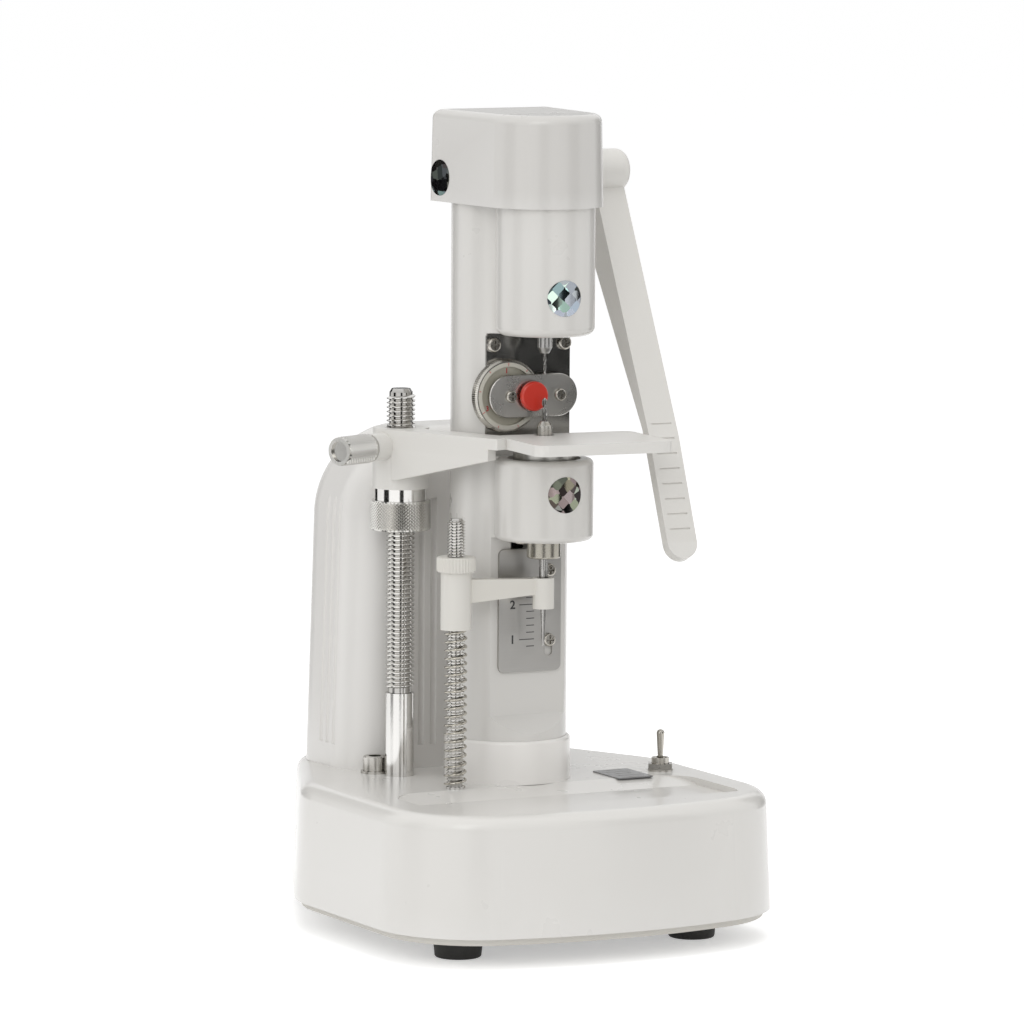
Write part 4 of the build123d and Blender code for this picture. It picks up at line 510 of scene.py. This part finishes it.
nodeLooks = {
    "paintedWhite": ["base_shell"],
    "columnWhitePaintedShade": ["column"],
    "capWhitePaintedShade": ["top_cap"],
    "ringWhitePaintedLight": ["pedestal"],
    "housingWhite": ["rear_housing"],
    "creamPaint": ["lever", "table_arm"],
    "creamPlastic": ["stop_arm", "stop_nut"],
    "beigePlate": ["base_plate"],
    "blackRubber": ["rubber_feet"],
    "redPlastic": ["stop_button"],
    "blackPlastic": ["cable_gland"],
    "boardGreen": ["circuit_board"],
    "labelGrey": ["switch_label"],
    "chrome": ["table_post", "stop_post", "height_nut", "support_collar", "thumb_screw", "lever_shaft"],
    "steelBright": ["drive_arm", "carriage_pin", "guide_rods", "bracket_spacers"],
    "drillSteel": ["upper_drill", "lower_drill", "reamer"],
    "steelSpring": ["return_springs", "stop_spring"],
    "steelDark": ["shaft_grub_screws", "carriage_screw", "motor_grub_screw"],
    "nickelWarm": ["foot_screws", "column_screws", "cap_screw", "frame_screws", "motor_screws",
                   "guide_plate_screws", "bracket_screws", "scale_screws", "post_nuts", "post_screw",
                   "housing_screws", "switch_body", "switch_nut", "switch_lever"],
    "darkChuck": ["upper_chuck"],
    "brassWorn": ["lower_spindle"],
    "bronze": ["shaft_bushes"],
    "millAluminium": ["bearing_frame", "motor_carriage"],
    "plateBrushed": ["scale_plate", "dial"],
    "bracketSteel": ["stop_bracket"],
    "platePolished": ["guide_plate"],
    "motorSteel": ["upper_motor", "lower_motor"],
    "coreSteel": ["transformer"],
    "prismFoil": ["foil_dots"],
}
for look, members in nodeLooks.items():
    for member in members:
        nodes[member].data.materials.clear()
        nodes[member].data.materials.append(materials[look])
print("carried nodes painted:", sum(len(v) for v in nodeLooks.values()))


def finishPiece(piece, name, look, body, slotName, *hidden):
    piece.name = name
    piece.data.name = name
    piece.data.materials.clear()
    piece.data.materials.append(materials[look])
    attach(piece, body)
    if hidden:
        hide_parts(*hidden)


# Threaded posts

# the ridge's foot is a share of the pitch, and its crest a share of the foot
threadLook = {"foot": 0.92, "crest": 0.18, "sunk": 0.05 * mm, "steps": 28}


def threadRidge(crest, root, pitch, low, high):
    # one turn of the ridge's outline, wound up the post
    startFresh()
    bpy.ops.mesh.primitive_plane_add(size=1.0, location=(0, 0, 0))
    ridge = bpy.context.object
    editAll(ridge)
    bpy.ops.transform.rotate(value=math.pi / 2, orient_axis="X", center_override=(0, 0, 0))
    bpy.ops.transform.resize(value=(crest - root, 1, pitch * threadLook["foot"]), center_override=(0, 0, 0))
    bpy.ops.transform.translate(value=((crest + root) / 2, 0, 0))
    leaveEdit()
    chooseVerts(ridge, lambda co: co.x > (crest + root) / 2)
    bpy.ops.transform.resize(value=(1, 1, threadLook["crest"]), center_override=(0, 0, 0))
    bpy.ops.mesh.select_all(action="SELECT")
    bpy.ops.mesh.delete(type="ONLY_FACE")
    leaveEdit()
    wind = ridge.modifiers.new("wind", "SCREW")
    wind.axis = "Z"
    wind.angle = 2 * math.pi
    wind.screw_offset = pitch
    wind.iterations = int((high - low - pitch) / pitch)
    wind.steps = threadLook["steps"]
    wind.render_steps = threadLook["steps"]
    wind.use_merge_vertices = True
    applyAll(ridge)
    bpy.ops.object.mode_set(mode="EDIT")
    bpy.ops.mesh.select_all(action="DESELECT")
    bpy.ops.mesh.select_mode(type="VERT")
    bpy.ops.mesh.select_non_manifold(extend=False, use_wire=False, use_boundary=True, use_multi_face=False,
                                     use_non_contiguous=False, use_verts=False)
    bpy.ops.mesh.fill_holes(sides=6)  # the two ends of the ridge
    bpy.ops.mesh.select_all(action="SELECT")
    bpy.ops.transform.translate(value=(0, 0, low + pitch))
    leaveEdit()
    return ridge


postFacets = 48
postEnd = 0.8  # the width of the bar's end, as a share of its root


def postCore(radius, root, low, threadLow, high, tip):
    # the bar: full width below the thread, its root width inside it, and a chamfered end
    startFresh()
    bpy.ops.mesh.primitive_cylinder_add(vertices=postFacets, radius=radius, depth=threadLow - low,
                                        location=(0, 0, (low + threadLow) / 2))
    bar = bpy.context.object
    bpy.ops.object.transform_apply(location=True, rotation=False, scale=False)
    chooseLevel(bar, threadLow)
    bpy.ops.mesh.select_mode(type="FACE")
    bpy.ops.mesh.inset(thickness=radius - root)
    extrudeUp(high - tip - threadLow)
    extrudeUp(tip)
    resizeAcross(postEnd, high)
    leaveEdit()
    return bar


def joinPieces(pieces):
    startFresh()
    for piece in pieces:
        piece.select_set(True)
    bpy.context.view_layer.objects.active = pieces[0]
    bpy.ops.object.join()
    return bpy.context.object


posts = [
    {"name": "threadedTablePost", "node": "table_post", "pitch": 1.5 * mm, "depth": 0.92 * mm,
     "threadFrom": 78.5 * mm, "tip": 1.2 * mm},
    {"name": "threadedStopPost", "node": "stop_post", "pitch": 1.0 * mm, "depth": 0.58 * mm,
     "threadFrom": 51.0 * mm, "tip": 0.8 * mm},
]
for post in posts:
    low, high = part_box(post["node"])
    radius = (high.x - low.x) / 2
    centre = middle(post["node"])
    root = radius - post["depth"]
    bar = postCore(radius, root, low.z, post["threadFrom"], high.z, post["tip"])
    foot = root - threadLook["sunk"]
    ridge = threadRidge(radius, foot, post["pitch"], post["threadFrom"], high.z - post["tip"])
    whole = joinPieces([bar, ridge])
    tidyNormals(whole)
    smoothByAngle(whole, degrees=25)
    settle(whole, place=(centre.x, centre.y, 0))
    finishPiece(whole, post["name"], "chrome", "base", "chrome_hardware", post["node"])
print("threaded posts made")


# Knurled nuts and screw

rowSlack = 0.1  # how far from its row a knurl's point may lie, in rows


def openRing(facets, radius, lifts=()):
    # an upright ring with open ends, left in edit mode with its top edge chosen
    startFresh()
    bpy.ops.mesh.primitive_circle_add(vertices=facets, radius=radius, fill_type="NOTHING",
                                      location=(0, 0, 0))
    ring = bpy.context.object
    editAll(ring)
    for rise in lifts:
        extrudeUp(rise)
    return ring


def columnOf(co, columns):
    # which upright line of a ring a point is on, with two lines to each column
    return round(math.atan2(co.y, co.x) / (math.pi / columns))


def knurledRing(radius, height, look):
    # an upright ring of raised points whose two ends are plain
    plain, depth = look["plain"], look["depth"]
    lines = look["rows"] * 2
    step = (height - 2 * plain) / lines
    ring = openRing(look["columns"] * 2, radius - depth, [plain] + [step] * lines + [plain])
    leaveEdit()

    def raised(co):
        line = (co.z - plain) / step
        knurled = -rowSlack < line < lines + rowSlack
        return knurled and (columnOf(co, look["columns"]) + round(line)) % 2 == 0

    chooseVerts(ring, raised)
    resizeAcross(radius / (radius - depth))
    # each quad folds between its two low corners, which makes small pyramids
    bpy.ops.mesh.select_all(action="SELECT")
    bpy.ops.mesh.quads_convert_to_tris(quad_method="SHORTEST_DIAGONAL")
    leaveEdit()
    return ring


def closeRing(ring, height, radius, bore, seat):
    # both ends step in to the bore, and the bore joins them
    for z in (0, height):
        chooseLevel(ring, z)
        extrudeUp(0)
        resizeAcross(seat / radius)
        extrudeUp(0)
        resizeAcross(bore / seat)
        leaveEdit()
    joinBore(ring, bore)


def joinBore(ring, bore):
    chooseVerts(ring, lambda co: math.hypot(co.x, co.y) < bore + boreSlack)
    bpy.ops.mesh.bridge_edge_loops()
    leaveEdit()


heightNut = {"columns": 50, "rows": 8, "depth": 0.42 * mm, "plain": 0.6 * mm, "bore": 5.06 * mm,
             "seat": 8.2 * mm}
low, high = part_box("height_nut")
nutHeight = high.z - low.z
nutRadius = (high.x - low.x) / 2
nut = knurledRing(nutRadius, nutHeight, heightNut)
closeRing(nut, nutHeight, nutRadius, heightNut["bore"], heightNut["seat"])
tidyNormals(nut)
smoothByAngle(nut, degrees=20)
settle(nut, place=(middle("height_nut").x, middle("height_nut").y, low.z))
finishPiece(nut, "knurledHeightNut", "knurledSteel", "height_nut", "chrome_hardware", "height_nut")

stopNut = {"columns": 36, "depth": 0.30 * mm, "plain": 0.45 * mm, "bore": 3.06 * mm, "seat": 5.3 * mm}
low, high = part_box("stop_nut")
stopRadius = (high.x - low.x) / 2
stopHeight = high.z - low.z
stopLifts = [stopNut["plain"], stopHeight - 2 * stopNut["plain"], stopNut["plain"]]
fluted = openRing(stopNut["columns"] * 2, stopRadius - stopNut["depth"], stopLifts)
leaveEdit()


def onFlute(co):
    # every other upright line, but not at the plain ends
    between = hair < co.z < stopHeight - hair
    return between and columnOf(co, stopNut["columns"]) % 2 == 0


chooseVerts(fluted, onFlute)
resizeAcross(stopRadius / (stopRadius - stopNut["depth"]))
leaveEdit()
closeRing(fluted, stopHeight, stopRadius, stopNut["bore"], stopNut["seat"])
tidyNormals(fluted)
smoothByAngle(fluted, degrees=20)
settle(fluted, place=(middle("stop_nut").x, middle("stop_nut").y, low.z))
finishPiece(fluted, "flutedStopNut", "creamPlastic", "stop_nut", "cream_paint", "stop_nut")

# its end is dished, and its shank reaches to the post; dishEdge and shank are shares of its root
thumb = {"columns": 22, "rows": 11, "depth": 0.35 * mm, "plain": 0.9 * mm, "reach": 16.6 * mm,
         "length": 15.0 * mm, "radius": 5.0 * mm, "dish": 0.8 * mm, "dishEdge": 0.74, "shank": 0.5,
         "shankEnd": 5.1 * mm, "height": 162.5 * mm, "outward": (-0.9232, -0.3843, 0)}
head = knurledRing(thumb["radius"], thumb["length"], thumb)
ends = [(thumb["length"], thumb["dishEdge"], -thumb["dish"]),
        (0, thumb["shank"], thumb["shankEnd"] - thumb["reach"])]
for z, share, rise in ends:
    chooseLevel(head, z)
    extrudeUp(0)
    resizeAcross(share)
    extrudeUp(rise)
    bpy.ops.mesh.edge_face_add()
    leaveEdit()
tidyNormals(head)
smoothByAngle(head, degrees=20)
outward = Vector(thumb["outward"]).normalized()
postCentre = middle("table_post")
thumbSeat = Vector((postCentre.x, postCentre.y, thumb["height"])) + outward * thumb["reach"]
settle(head, turn=Vector((0, 0, 1)).rotation_difference(outward), place=thumbSeat)
finishPiece(head, "knurledThumbScrew", "knurledSteel", "thumb_screw", "chrome_hardware", "thumb_screw")
print("knurled pieces made")


# Spring wires: smoothed copies of the frame's springs

springs = [
    {"name": "stopSpringWire", "node": "stop_spring", "from": "base", "to": "reamer_stop",
     "start": (0, 0, 0.0503), "end": (0, 0, 0.1038)},
    {"name": "returnSpringWires", "node": "return_springs", "from": "base", "to": "carriage",
     "start": (0, 0, 0.2019), "end": (0, 0, 0.2123)},
]
for spring in springs:
    takeUp(nodes[spring["node"]])
    bpy.ops.object.duplicate()
    wire = bpy.context.object
    wire.parent = None
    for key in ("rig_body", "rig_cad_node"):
        if key in wire:
            del wire[key]
    editAll(wire)
    bpy.ops.mesh.remove_doubles(threshold=touch)
    leaveEdit()
    smoothByAngle(wire, degrees=50)
    wire.name = spring["name"]
    wire.data.name = spring["name"]
    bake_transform(wire)
    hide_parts(spring["node"])
print("springs made")


# Fluted drills

drills = [
    {"name": "twistLowerDrill", "node": "lower_drill", "body": "lower_spindle", "up": True, "twist": 3.0},
    {"name": "twistUpperDrill", "node": "upper_drill", "body": "upper_spindle", "up": False, "twist": 5.0},
]
# the fluted end's rings, hollows and point, as shares of the drill's length or width
fluteLook = {"facets": 24, "rings": 24, "from": 0.52, "step": 0.019, "hollowFrom": 0.53, "side": 0.6,
             "web": (0.55, 0.42), "point": 0.12, "twistFrom": 0.5}
upsideDown = Vector((0, 0, 1)).rotation_difference(Vector((0, 0.0001, -1)))  # half a turn about X
for drill in drills:
    low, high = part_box(drill["node"])
    radius = (high.x - low.x) / 2
    length = high.z - low.z
    centre = middle(drill["node"])
    startFresh()
    bpy.ops.mesh.primitive_cylinder_add(vertices=fluteLook["facets"], radius=radius, depth=length,
                                        location=(0, 0, length / 2))
    bit = bpy.context.object
    bpy.ops.object.transform_apply(location=True, rotation=False, scale=False)
    editAll(bit)
    for ring in range(fluteLook["rings"]):
        z = length * (fluteLook["from"] + ring * fluteLook["step"])
        bpy.ops.mesh.select_all(action="SELECT")
        bpy.ops.mesh.bisect(plane_co=(0, 0, z), plane_no=(0, 0, 1))
    leaveEdit()

    def onHollow(co):
        # both sides of the working end, which is the upper half here
        return co.z > length * fluteLook["hollowFrom"] and abs(co.y) > radius * fluteLook["side"]

    chooseVerts(bit, onHollow)
    bpy.ops.transform.resize(value=(*fluteLook["web"], 1), center_override=(0, 0, 0))
    leaveEdit()
    chooseLevel(bit, length)
    resizeAcross(fluteLook["point"])
    leaveEdit()
    group = bit.vertex_groups.new(name="worked")
    worked = [v.index for v in bit.data.vertices if v.co.z > length * fluteLook["twistFrom"]]
    group.add(worked, 1.0, "REPLACE")
    turnMod = bit.modifiers.new("turn", "SIMPLE_DEFORM")
    turnMod.deform_method = "TWIST"
    turnMod.deform_axis = "Z"
    turnMod.angle = drill["twist"] * math.pi
    turnMod.vertex_group = "worked"
    applyAll(bit)
    bit.vertex_groups.clear()
    tidyNormals(bit)
    smoothByAngle(bit, degrees=40)
    if drill["up"]:
        settle(bit, place=(centre.x, centre.y, low.z))
    else:
        settle(bit, turn=upsideDown, place=(centre.x, centre.y, high.z))
    finishPiece(bit, drill["name"], "drillSteel", drill["body"], "bright_steel", drill["node"])
print("drills made")


# Marks on the dial and the scale

inkThick = 0.06 * mm
inkEdge = 0.3  # the softened edge, as a share of the ink's thickness
figureWeight = 0.025  # how much bolder a figure is drawn, as a share of its size
figureSteps = 4  # how finely its curves are drawn


def flatBar(width, thick, height):
    # a printed stroke with its outer edges softened
    startFresh()
    bpy.ops.mesh.primitive_cube_add(size=1.0, location=(0, 0, 0))
    stroke = bpy.context.object
    editAll(stroke)
    bpy.ops.transform.resize(value=(width, thick, height), center_override=(0, 0, 0))
    bpy.ops.mesh.bevel(offset=thick * inkEdge, segments=1)
    leaveEdit()
    return stroke


def numeral(text, size):
    startFresh()
    bpy.ops.object.text_add(location=(0, 0, 0))
    letters = bpy.context.object
    letters.data.body = text
    letters.data.size = size
    letters.data.extrude = inkThick / 2
    letters.data.offset = size * figureWeight
    letters.data.align_x = "CENTER"
    letters.data.align_y = "CENTER"
    letters.data.resolution_u = figureSteps
    bpy.ops.object.convert(target="MESH")
    letters = bpy.context.object
    editAll(letters)
    bpy.ops.transform.rotate(value=-math.pi / 2, orient_axis="X", center_override=(0, 0, 0))
    leaveEdit()
    return letters


def placeMark(mark, x, y, z):
    editAll(mark)
    bpy.ops.transform.translate(value=(x, y, z))
    leaveEdit()
    return mark


# marks are counted up from the figure 1, with five steps to the figure 2
scaleLook = {"first": -1, "last": 7, "figures": {0: "1", 5: "2"}, "zero": 98.7 * mm, "step": 2.35 * mm,
             "right": 2.0 * mm, "long": 5.6 * mm, "short": 3.0 * mm, "line": 0.28 * mm,
             "figureX": -6.15 * mm, "figureSize": 4.0 * mm, "proud": 0.4}
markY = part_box("scale_plate")[0].y - inkThick * scaleLook["proud"]
marks = []
for index in range(scaleLook["first"], scaleLook["last"] + 1):
    length = scaleLook["long"] if index in scaleLook["figures"] else scaleLook["short"]
    mark = flatBar(length, inkThick, scaleLook["line"])
    z = scaleLook["zero"] + index * scaleLook["step"]
    marks.append(placeMark(mark, scaleLook["right"] - length / 2, markY, z))
for index, text in scaleLook["figures"].items():
    z = scaleLook["zero"] + index * scaleLook["step"]
    marks.append(placeMark(numeral(text, scaleLook["figureSize"]), scaleLook["figureX"], markY, z))
scaleInk = joinPieces(marks)
settle(scaleInk)
finishPiece(scaleInk, "scaleMarks", "inkBlack", "base", "dark_steel")
print("scale marked")


# The dial: a knurled steel rim round a pale grooved face with red strokes

# back and front are the plain ends of the rim, and the front one is chamfered
dialLook = {"columns": 110, "knurl": 0.22 * mm, "back": 0.4 * mm, "front": 0.7 * mm, "bore": 2.6 * mm,
            "grooveOut": 9.9 * mm, "grooveIn": 5.5 * mm, "grooveDeep": 1.4 * mm,
            "rim": 1.1 * mm, "skin": 0.08 * mm, "skinProud": 0.4, "skinGap": 0.05 * mm,
            "skinBore": 2.7 * mm, "facets": 96,
            "strokes": 9, "strokeOut": 11.15 * mm, "strokeWide": 0.2 * mm, "long": 1.1 * mm,
            "short": 0.8 * mm, "figureEvery": 3, "figureIn": 8.3 * mm, "figureSize": 2.4 * mm}
dialLow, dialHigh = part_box("dial")
dialCentre = (dialLow + dialHigh) / 2
dialRadius = (dialHigh.x - dialLow.x) / 2
dialThick = dialHigh.y - dialLow.y
dialRoot = dialRadius - dialLook["knurl"]
dialFront = dialRadius - dialLook["front"]


def stepInwards(piece, height, radius, steps):
    # the open loop at this height goes in and down by each step in turn
    chooseLevel(piece, height)
    for nextRadius, drop in steps:
        extrudeUp(-drop)
        resizeAcross(nextRadius / radius)
        radius = nextRadius
    leaveEdit()


def grooveSteps(gap):
    out, inside, deep = dialLook["grooveOut"] + gap, dialLook["grooveIn"] - gap, dialLook["grooveDeep"]
    return [(out, 0), (out, deep), (inside, 0), (inside, -deep)]


def onRimKnurl(co):
    # every other upright line, but neither the back edge nor the chamfer's inner edge
    between = hair < co.z < dialThick - hair
    return between and columnOf(co, dialLook["columns"]) % 2 == 0


rimLifts = [dialLook["back"], dialThick - dialLook["back"] - dialLook["front"], dialLook["front"]]
rim = openRing(dialLook["columns"] * 2, dialRoot, rimLifts)
resizeAcross(dialFront / dialRoot)
leaveEdit()
chooseVerts(rim, onRimKnurl)
resizeAcross(dialRadius / dialRoot)
leaveEdit()
stepInwards(rim, dialThick, dialFront, grooveSteps(0.0) + [(dialLook["bore"], 0)])
stepInwards(rim, 0, dialRoot, [(dialLook["bore"], 0)])
joinBore(rim, dialLook["bore"])
tidyNormals(rim)
smoothByAngle(rim, degrees=20)
towardFront = Vector((0, 0, 1)).rotation_difference(Vector((0, -1, 0)))
settle(rim, turn=towardFront, place=(dialCentre.x, dialHigh.y, dialCentre.z))
finishPiece(rim, "knurledDialRim", "steelSpring", "dial", "brushed_plate", "dial")

# the pale face is a thin skin over the front and down into the groove
faceRadius = dialRadius - dialLook["rim"]
face = openRing(dialLook["facets"], faceRadius)
leaveEdit()
stepInwards(face, 0, faceRadius, grooveSteps(-dialLook["skinGap"]) + [(dialLook["skinBore"], 0)])
tidyNormals(face)
thicken = face.modifiers.new("skin", "SOLIDIFY")
thicken.thickness = dialLook["skin"]
thicken.offset = 0
applyAll(face)
tidyNormals(face)
faceY = dialLow.y - dialLook["skin"] * dialLook["skinProud"]
settle(face, turn=towardFront, place=(dialCentre.x, faceY, dialCentre.z))
finishPiece(face, "dialFace", "dialWhite", "dial", "brushed_plate")

strokeY = dialLow.y - dialLook["skin"] - inkThick / 2


def placeOnDial(mark, reach, angle, y):
    # at this reach from the dial's middle, turned clockwise from the top
    x = dialCentre.x + reach * math.sin(angle)
    z = dialCentre.z + reach * math.cos(angle)
    return placeMark(mark, x, y, z)


strokes = []
for index in range(dialLook["strokes"]):
    angle = 2 * math.pi * index / dialLook["strokes"]
    figured = index % dialLook["figureEvery"] == 0
    length = dialLook["long"] if figured else dialLook["short"]
    stroke = flatBar(dialLook["strokeWide"], inkThick, length)
    takeUp(stroke)
    stroke.rotation_euler = (0, angle, 0)
    bpy.ops.object.transform_apply(location=False, rotation=True, scale=False)
    strokes.append(placeOnDial(stroke, dialLook["strokeOut"] - length / 2, angle, strokeY))
    if figured:
        figure = numeral(str(index // dialLook["figureEvery"] + 1), dialLook["figureSize"])
        strokes.append(placeOnDial(figure, dialLook["figureIn"], angle, strokeY + dialLook["grooveDeep"]))
dialInk = joinPieces(strokes)
settle(dialInk)
finishPiece(dialInk, "dialStrokes", "inkRed", "dial", "red_plastic")
print("dial made")


# Faint ruled lines on the dark label

labelLook = {"rows": 5, "line": 0.25 * mm, "inset": 1.6 * mm, "lengths": (0.65, 0.9), "proud": 0.3}
labelLow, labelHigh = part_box("switch_label")
ruledWidth = labelHigh.x - labelLow.x - 2 * labelLook["inset"]
rowStep = (labelHigh.y - labelLow.y - 2 * labelLook["inset"]) / (labelLook["rows"] - 1)
ruleX = (labelLow.x + labelHigh.x) / 2
ruleZ = labelHigh.z + inkThick * labelLook["proud"]
rules = []
for row in range(labelLook["rows"]):
    bar = flatBar(ruledWidth * labelLook["lengths"][row % 2], labelLook["line"], inkThick)
    rules.append(placeMark(bar, ruleX, labelLow.y + labelLook["inset"] + row * rowStep, ruleZ))
ruled = joinPieces(rules)
settle(ruled)
finishPiece(ruled, "labelRules", "motorSteel", "base", "label_foil")
print("label ruled")


# Floor, light and camera

roomLook = {"floorSize": 40.0, "floorColor": (0.93, 0.93, 0.93, 1), "floorGlow": 0.42, "fill": 0.62,
            "cardColor": (0.02, 0.02, 0.02, 1)}


def seenRays(tree):
    # rays from the camera, straight or by way of gloss or glass, meet a white room
    light = tree.nodes.new("ShaderNodeLightPath")
    most = addNode(tree, "ShaderNodeMath", {"operation": "MAXIMUM"},
                   {0: light.outputs["Is Camera Ray"], 1: light.outputs["Is Glossy Ray"]})
    every = addNode(tree, "ShaderNodeMath", {"operation": "MAXIMUM"},
                    {0: most.outputs[0], 1: light.outputs["Is Transmission Ray"]})
    return every.outputs[0]


def buildStudio():
    startFresh()
    bpy.ops.mesh.primitive_plane_add(size=roomLook["floorSize"], location=(0, 0, 0))
    floor = bpy.context.object
    floor.name = "floor"
    material = bpy.data.materials.new("paleFloor")
    material.use_nodes = True
    tree = material.node_tree
    tree.nodes.clear()
    output = tree.nodes.new("ShaderNodeOutputMaterial")
    seen = seenRays(tree)
    diffuse = addNode(tree, "ShaderNodeBsdfDiffuse", {"Color": roomLook["floorColor"]})
    strength = addNode(tree, "ShaderNodeMath", {"operation": "MULTIPLY", 1: roomLook["floorGlow"]},
                       {0: seen})
    glow = addNode(tree, "ShaderNodeEmission", {"Color": (1, 1, 1, 1)}, {"Strength": strength.outputs[0]})
    both = addNode(tree, "ShaderNodeAddShader")
    tree.links.new(diffuse.outputs[0], both.inputs[0])
    tree.links.new(glow.outputs[0], both.inputs[1])
    tree.links.new(both.outputs[0], output.inputs["Surface"])
    floor.data.materials.append(material)

    world = bpy.data.worlds.new("softRoom")
    bpy.context.scene.world = world
    world.use_nodes = True
    tree = world.node_tree
    tree.nodes.clear()
    output = tree.nodes.new("ShaderNodeOutputWorld")
    seen = seenRays(tree)
    fill = addNode(tree, "ShaderNodeBackground", {"Color": (1, 1, 1, 1), "Strength": roomLook["fill"]})
    white = addNode(tree, "ShaderNodeBackground", {"Color": (1, 1, 1, 1), "Strength": 1.0})
    mix = addNode(tree, "ShaderNodeMixShader", {}, {0: seen})
    tree.links.new(fill.outputs[0], mix.inputs[1])
    tree.links.new(white.outputs[0], mix.inputs[2])
    tree.links.new(mix.outputs[0], output.inputs["Surface"])


lampAim = Vector((0, 0, 0.14))
lamps = {
    "keySoftbox": {"place": (-0.9, -1.3, 1.1), "size": (1.0, 1.0), "power": 6.0, "mirrored": True},
    "rightSoftbox": {"place": (1.2, -0.8, 0.7), "size": (0.8, 1.2), "power": 1.2, "mirrored": False},
    "leftSoftbox": {"place": (-1.5, -0.1, 0.8), "size": (0.9, 1.2), "power": 3.6, "mirrored": False},
    "topSoftbox": {"place": (0.0, -0.1, 1.6), "size": (1.2, 1.2), "power": 6.5, "mirrored": False},
}


def addLamp(name, look):
    startFresh()
    bpy.ops.object.light_add(type="AREA", location=look["place"])
    lamp = bpy.context.object
    lamp.name = name
    lamp.data.shape = "RECTANGLE"
    lamp.data.size, lamp.data.size_y = look["size"]
    lamp.data.energy = look["power"]
    lamp.visible_glossy = look["mirrored"]
    lamp.rotation_euler = (lampAim - Vector(look["place"])).to_track_quat("-Z", "Y").to_euler()


# where the photo was taken from, in degrees and metres, with the lens in millimetres
shot = {"turn": 27.745, "distance": 2321.45 * mm, "height": 401.85 * mm, "lens": 244.3, "sensor": 36.0,
        "down": 6.435, "roll": 0.352, "yaw": 0.028, "far": 50.0}

# dark cards round the machine that only metal and gloss can see, turned from the photo's side
cards = [
    {"name": "frontFlag", "turn": 2.0, "away": 0.55, "size": (0.17, 0.5), "rise": 0.25},
    {"name": "leftFlag", "turn": -66.0, "away": 0.55, "size": (0.24, 0.5), "rise": 0.25},
    {"name": "rightFlag", "turn": 60.0, "away": 0.60, "size": (0.24, 0.5), "rise": 0.25},
    {"name": "farLeftFlag", "turn": -135.0, "away": 0.6, "size": (0.3, 0.5), "rise": 0.25},
    {"name": "farRightFlag", "turn": 135.0, "away": 0.6, "size": (0.3, 0.5), "rise": 0.25},
    {"name": "backFlag", "turn": 180.0, "away": 1.5, "size": (1.2, 0.12), "rise": 0.365},
]


def buildCards():
    material = newMaterial("darkCard", {"Base Color": roomLook["cardColor"], "Specular IOR Level": 0.0})[0]
    for card in cards:
        around = math.radians(shot["turn"] - card["turn"])
        place = Vector((-card["away"] * math.sin(around), -card["away"] * math.cos(around), card["rise"]))
        startFresh()
        bpy.ops.mesh.primitive_plane_add(size=1.0, location=place)
        flag = bpy.context.object
        flag.name = card["name"]
        flag.scale = (*card["size"], 1)
        flag.rotation_euler = (Vector((0, 0, card["rise"])) - place).to_track_quat("Z", "Y").to_euler()
        flag.visible_camera = False
        flag.visible_diffuse = False
        flag.visible_shadow = False
        flag.data.materials.append(material)


def buildCamera():
    around = math.radians(shot["turn"])
    aim = math.radians(shot["turn"] + shot["yaw"])
    down = math.radians(shot["down"])
    roll = math.radians(shot["roll"])
    away = shot["distance"]
    place = Vector((-away * math.sin(around), -away * math.cos(around), shot["height"]))
    forward = Vector((math.sin(aim) * math.cos(down), math.cos(aim) * math.cos(down), -math.sin(down)))
    right = forward.cross(Vector((0, 0, 1))).normalized()
    up = right.cross(forward)
    rightRolled = right * math.cos(roll) + up * math.sin(roll)
    upRolled = up * math.cos(roll) - right * math.sin(roll)
    data = bpy.data.cameras.new("photoCamera")
    data.lens = shot["lens"]
    data.sensor_width = shot["sensor"]
    data.clip_end = shot["far"]
    camera = bpy.data.objects.new("photoCamera", data)
    bpy.context.scene.collection.objects.link(camera)
    rows = [rightRolled, upRolled, -forward]
    axes = [[rows[0][i], rows[1][i], rows[2][i], place[i]] for i in range(3)]
    camera.matrix_world = Matrix(axes + [[0, 0, 0, 1]])
    bpy.context.scene.camera = camera


buildStudio()
for name, look in lamps.items():
    addLamp(name, look)
buildCards()
buildCamera()
bpy.context.scene.view_settings.view_transform = "Standard"
print("studio ready")
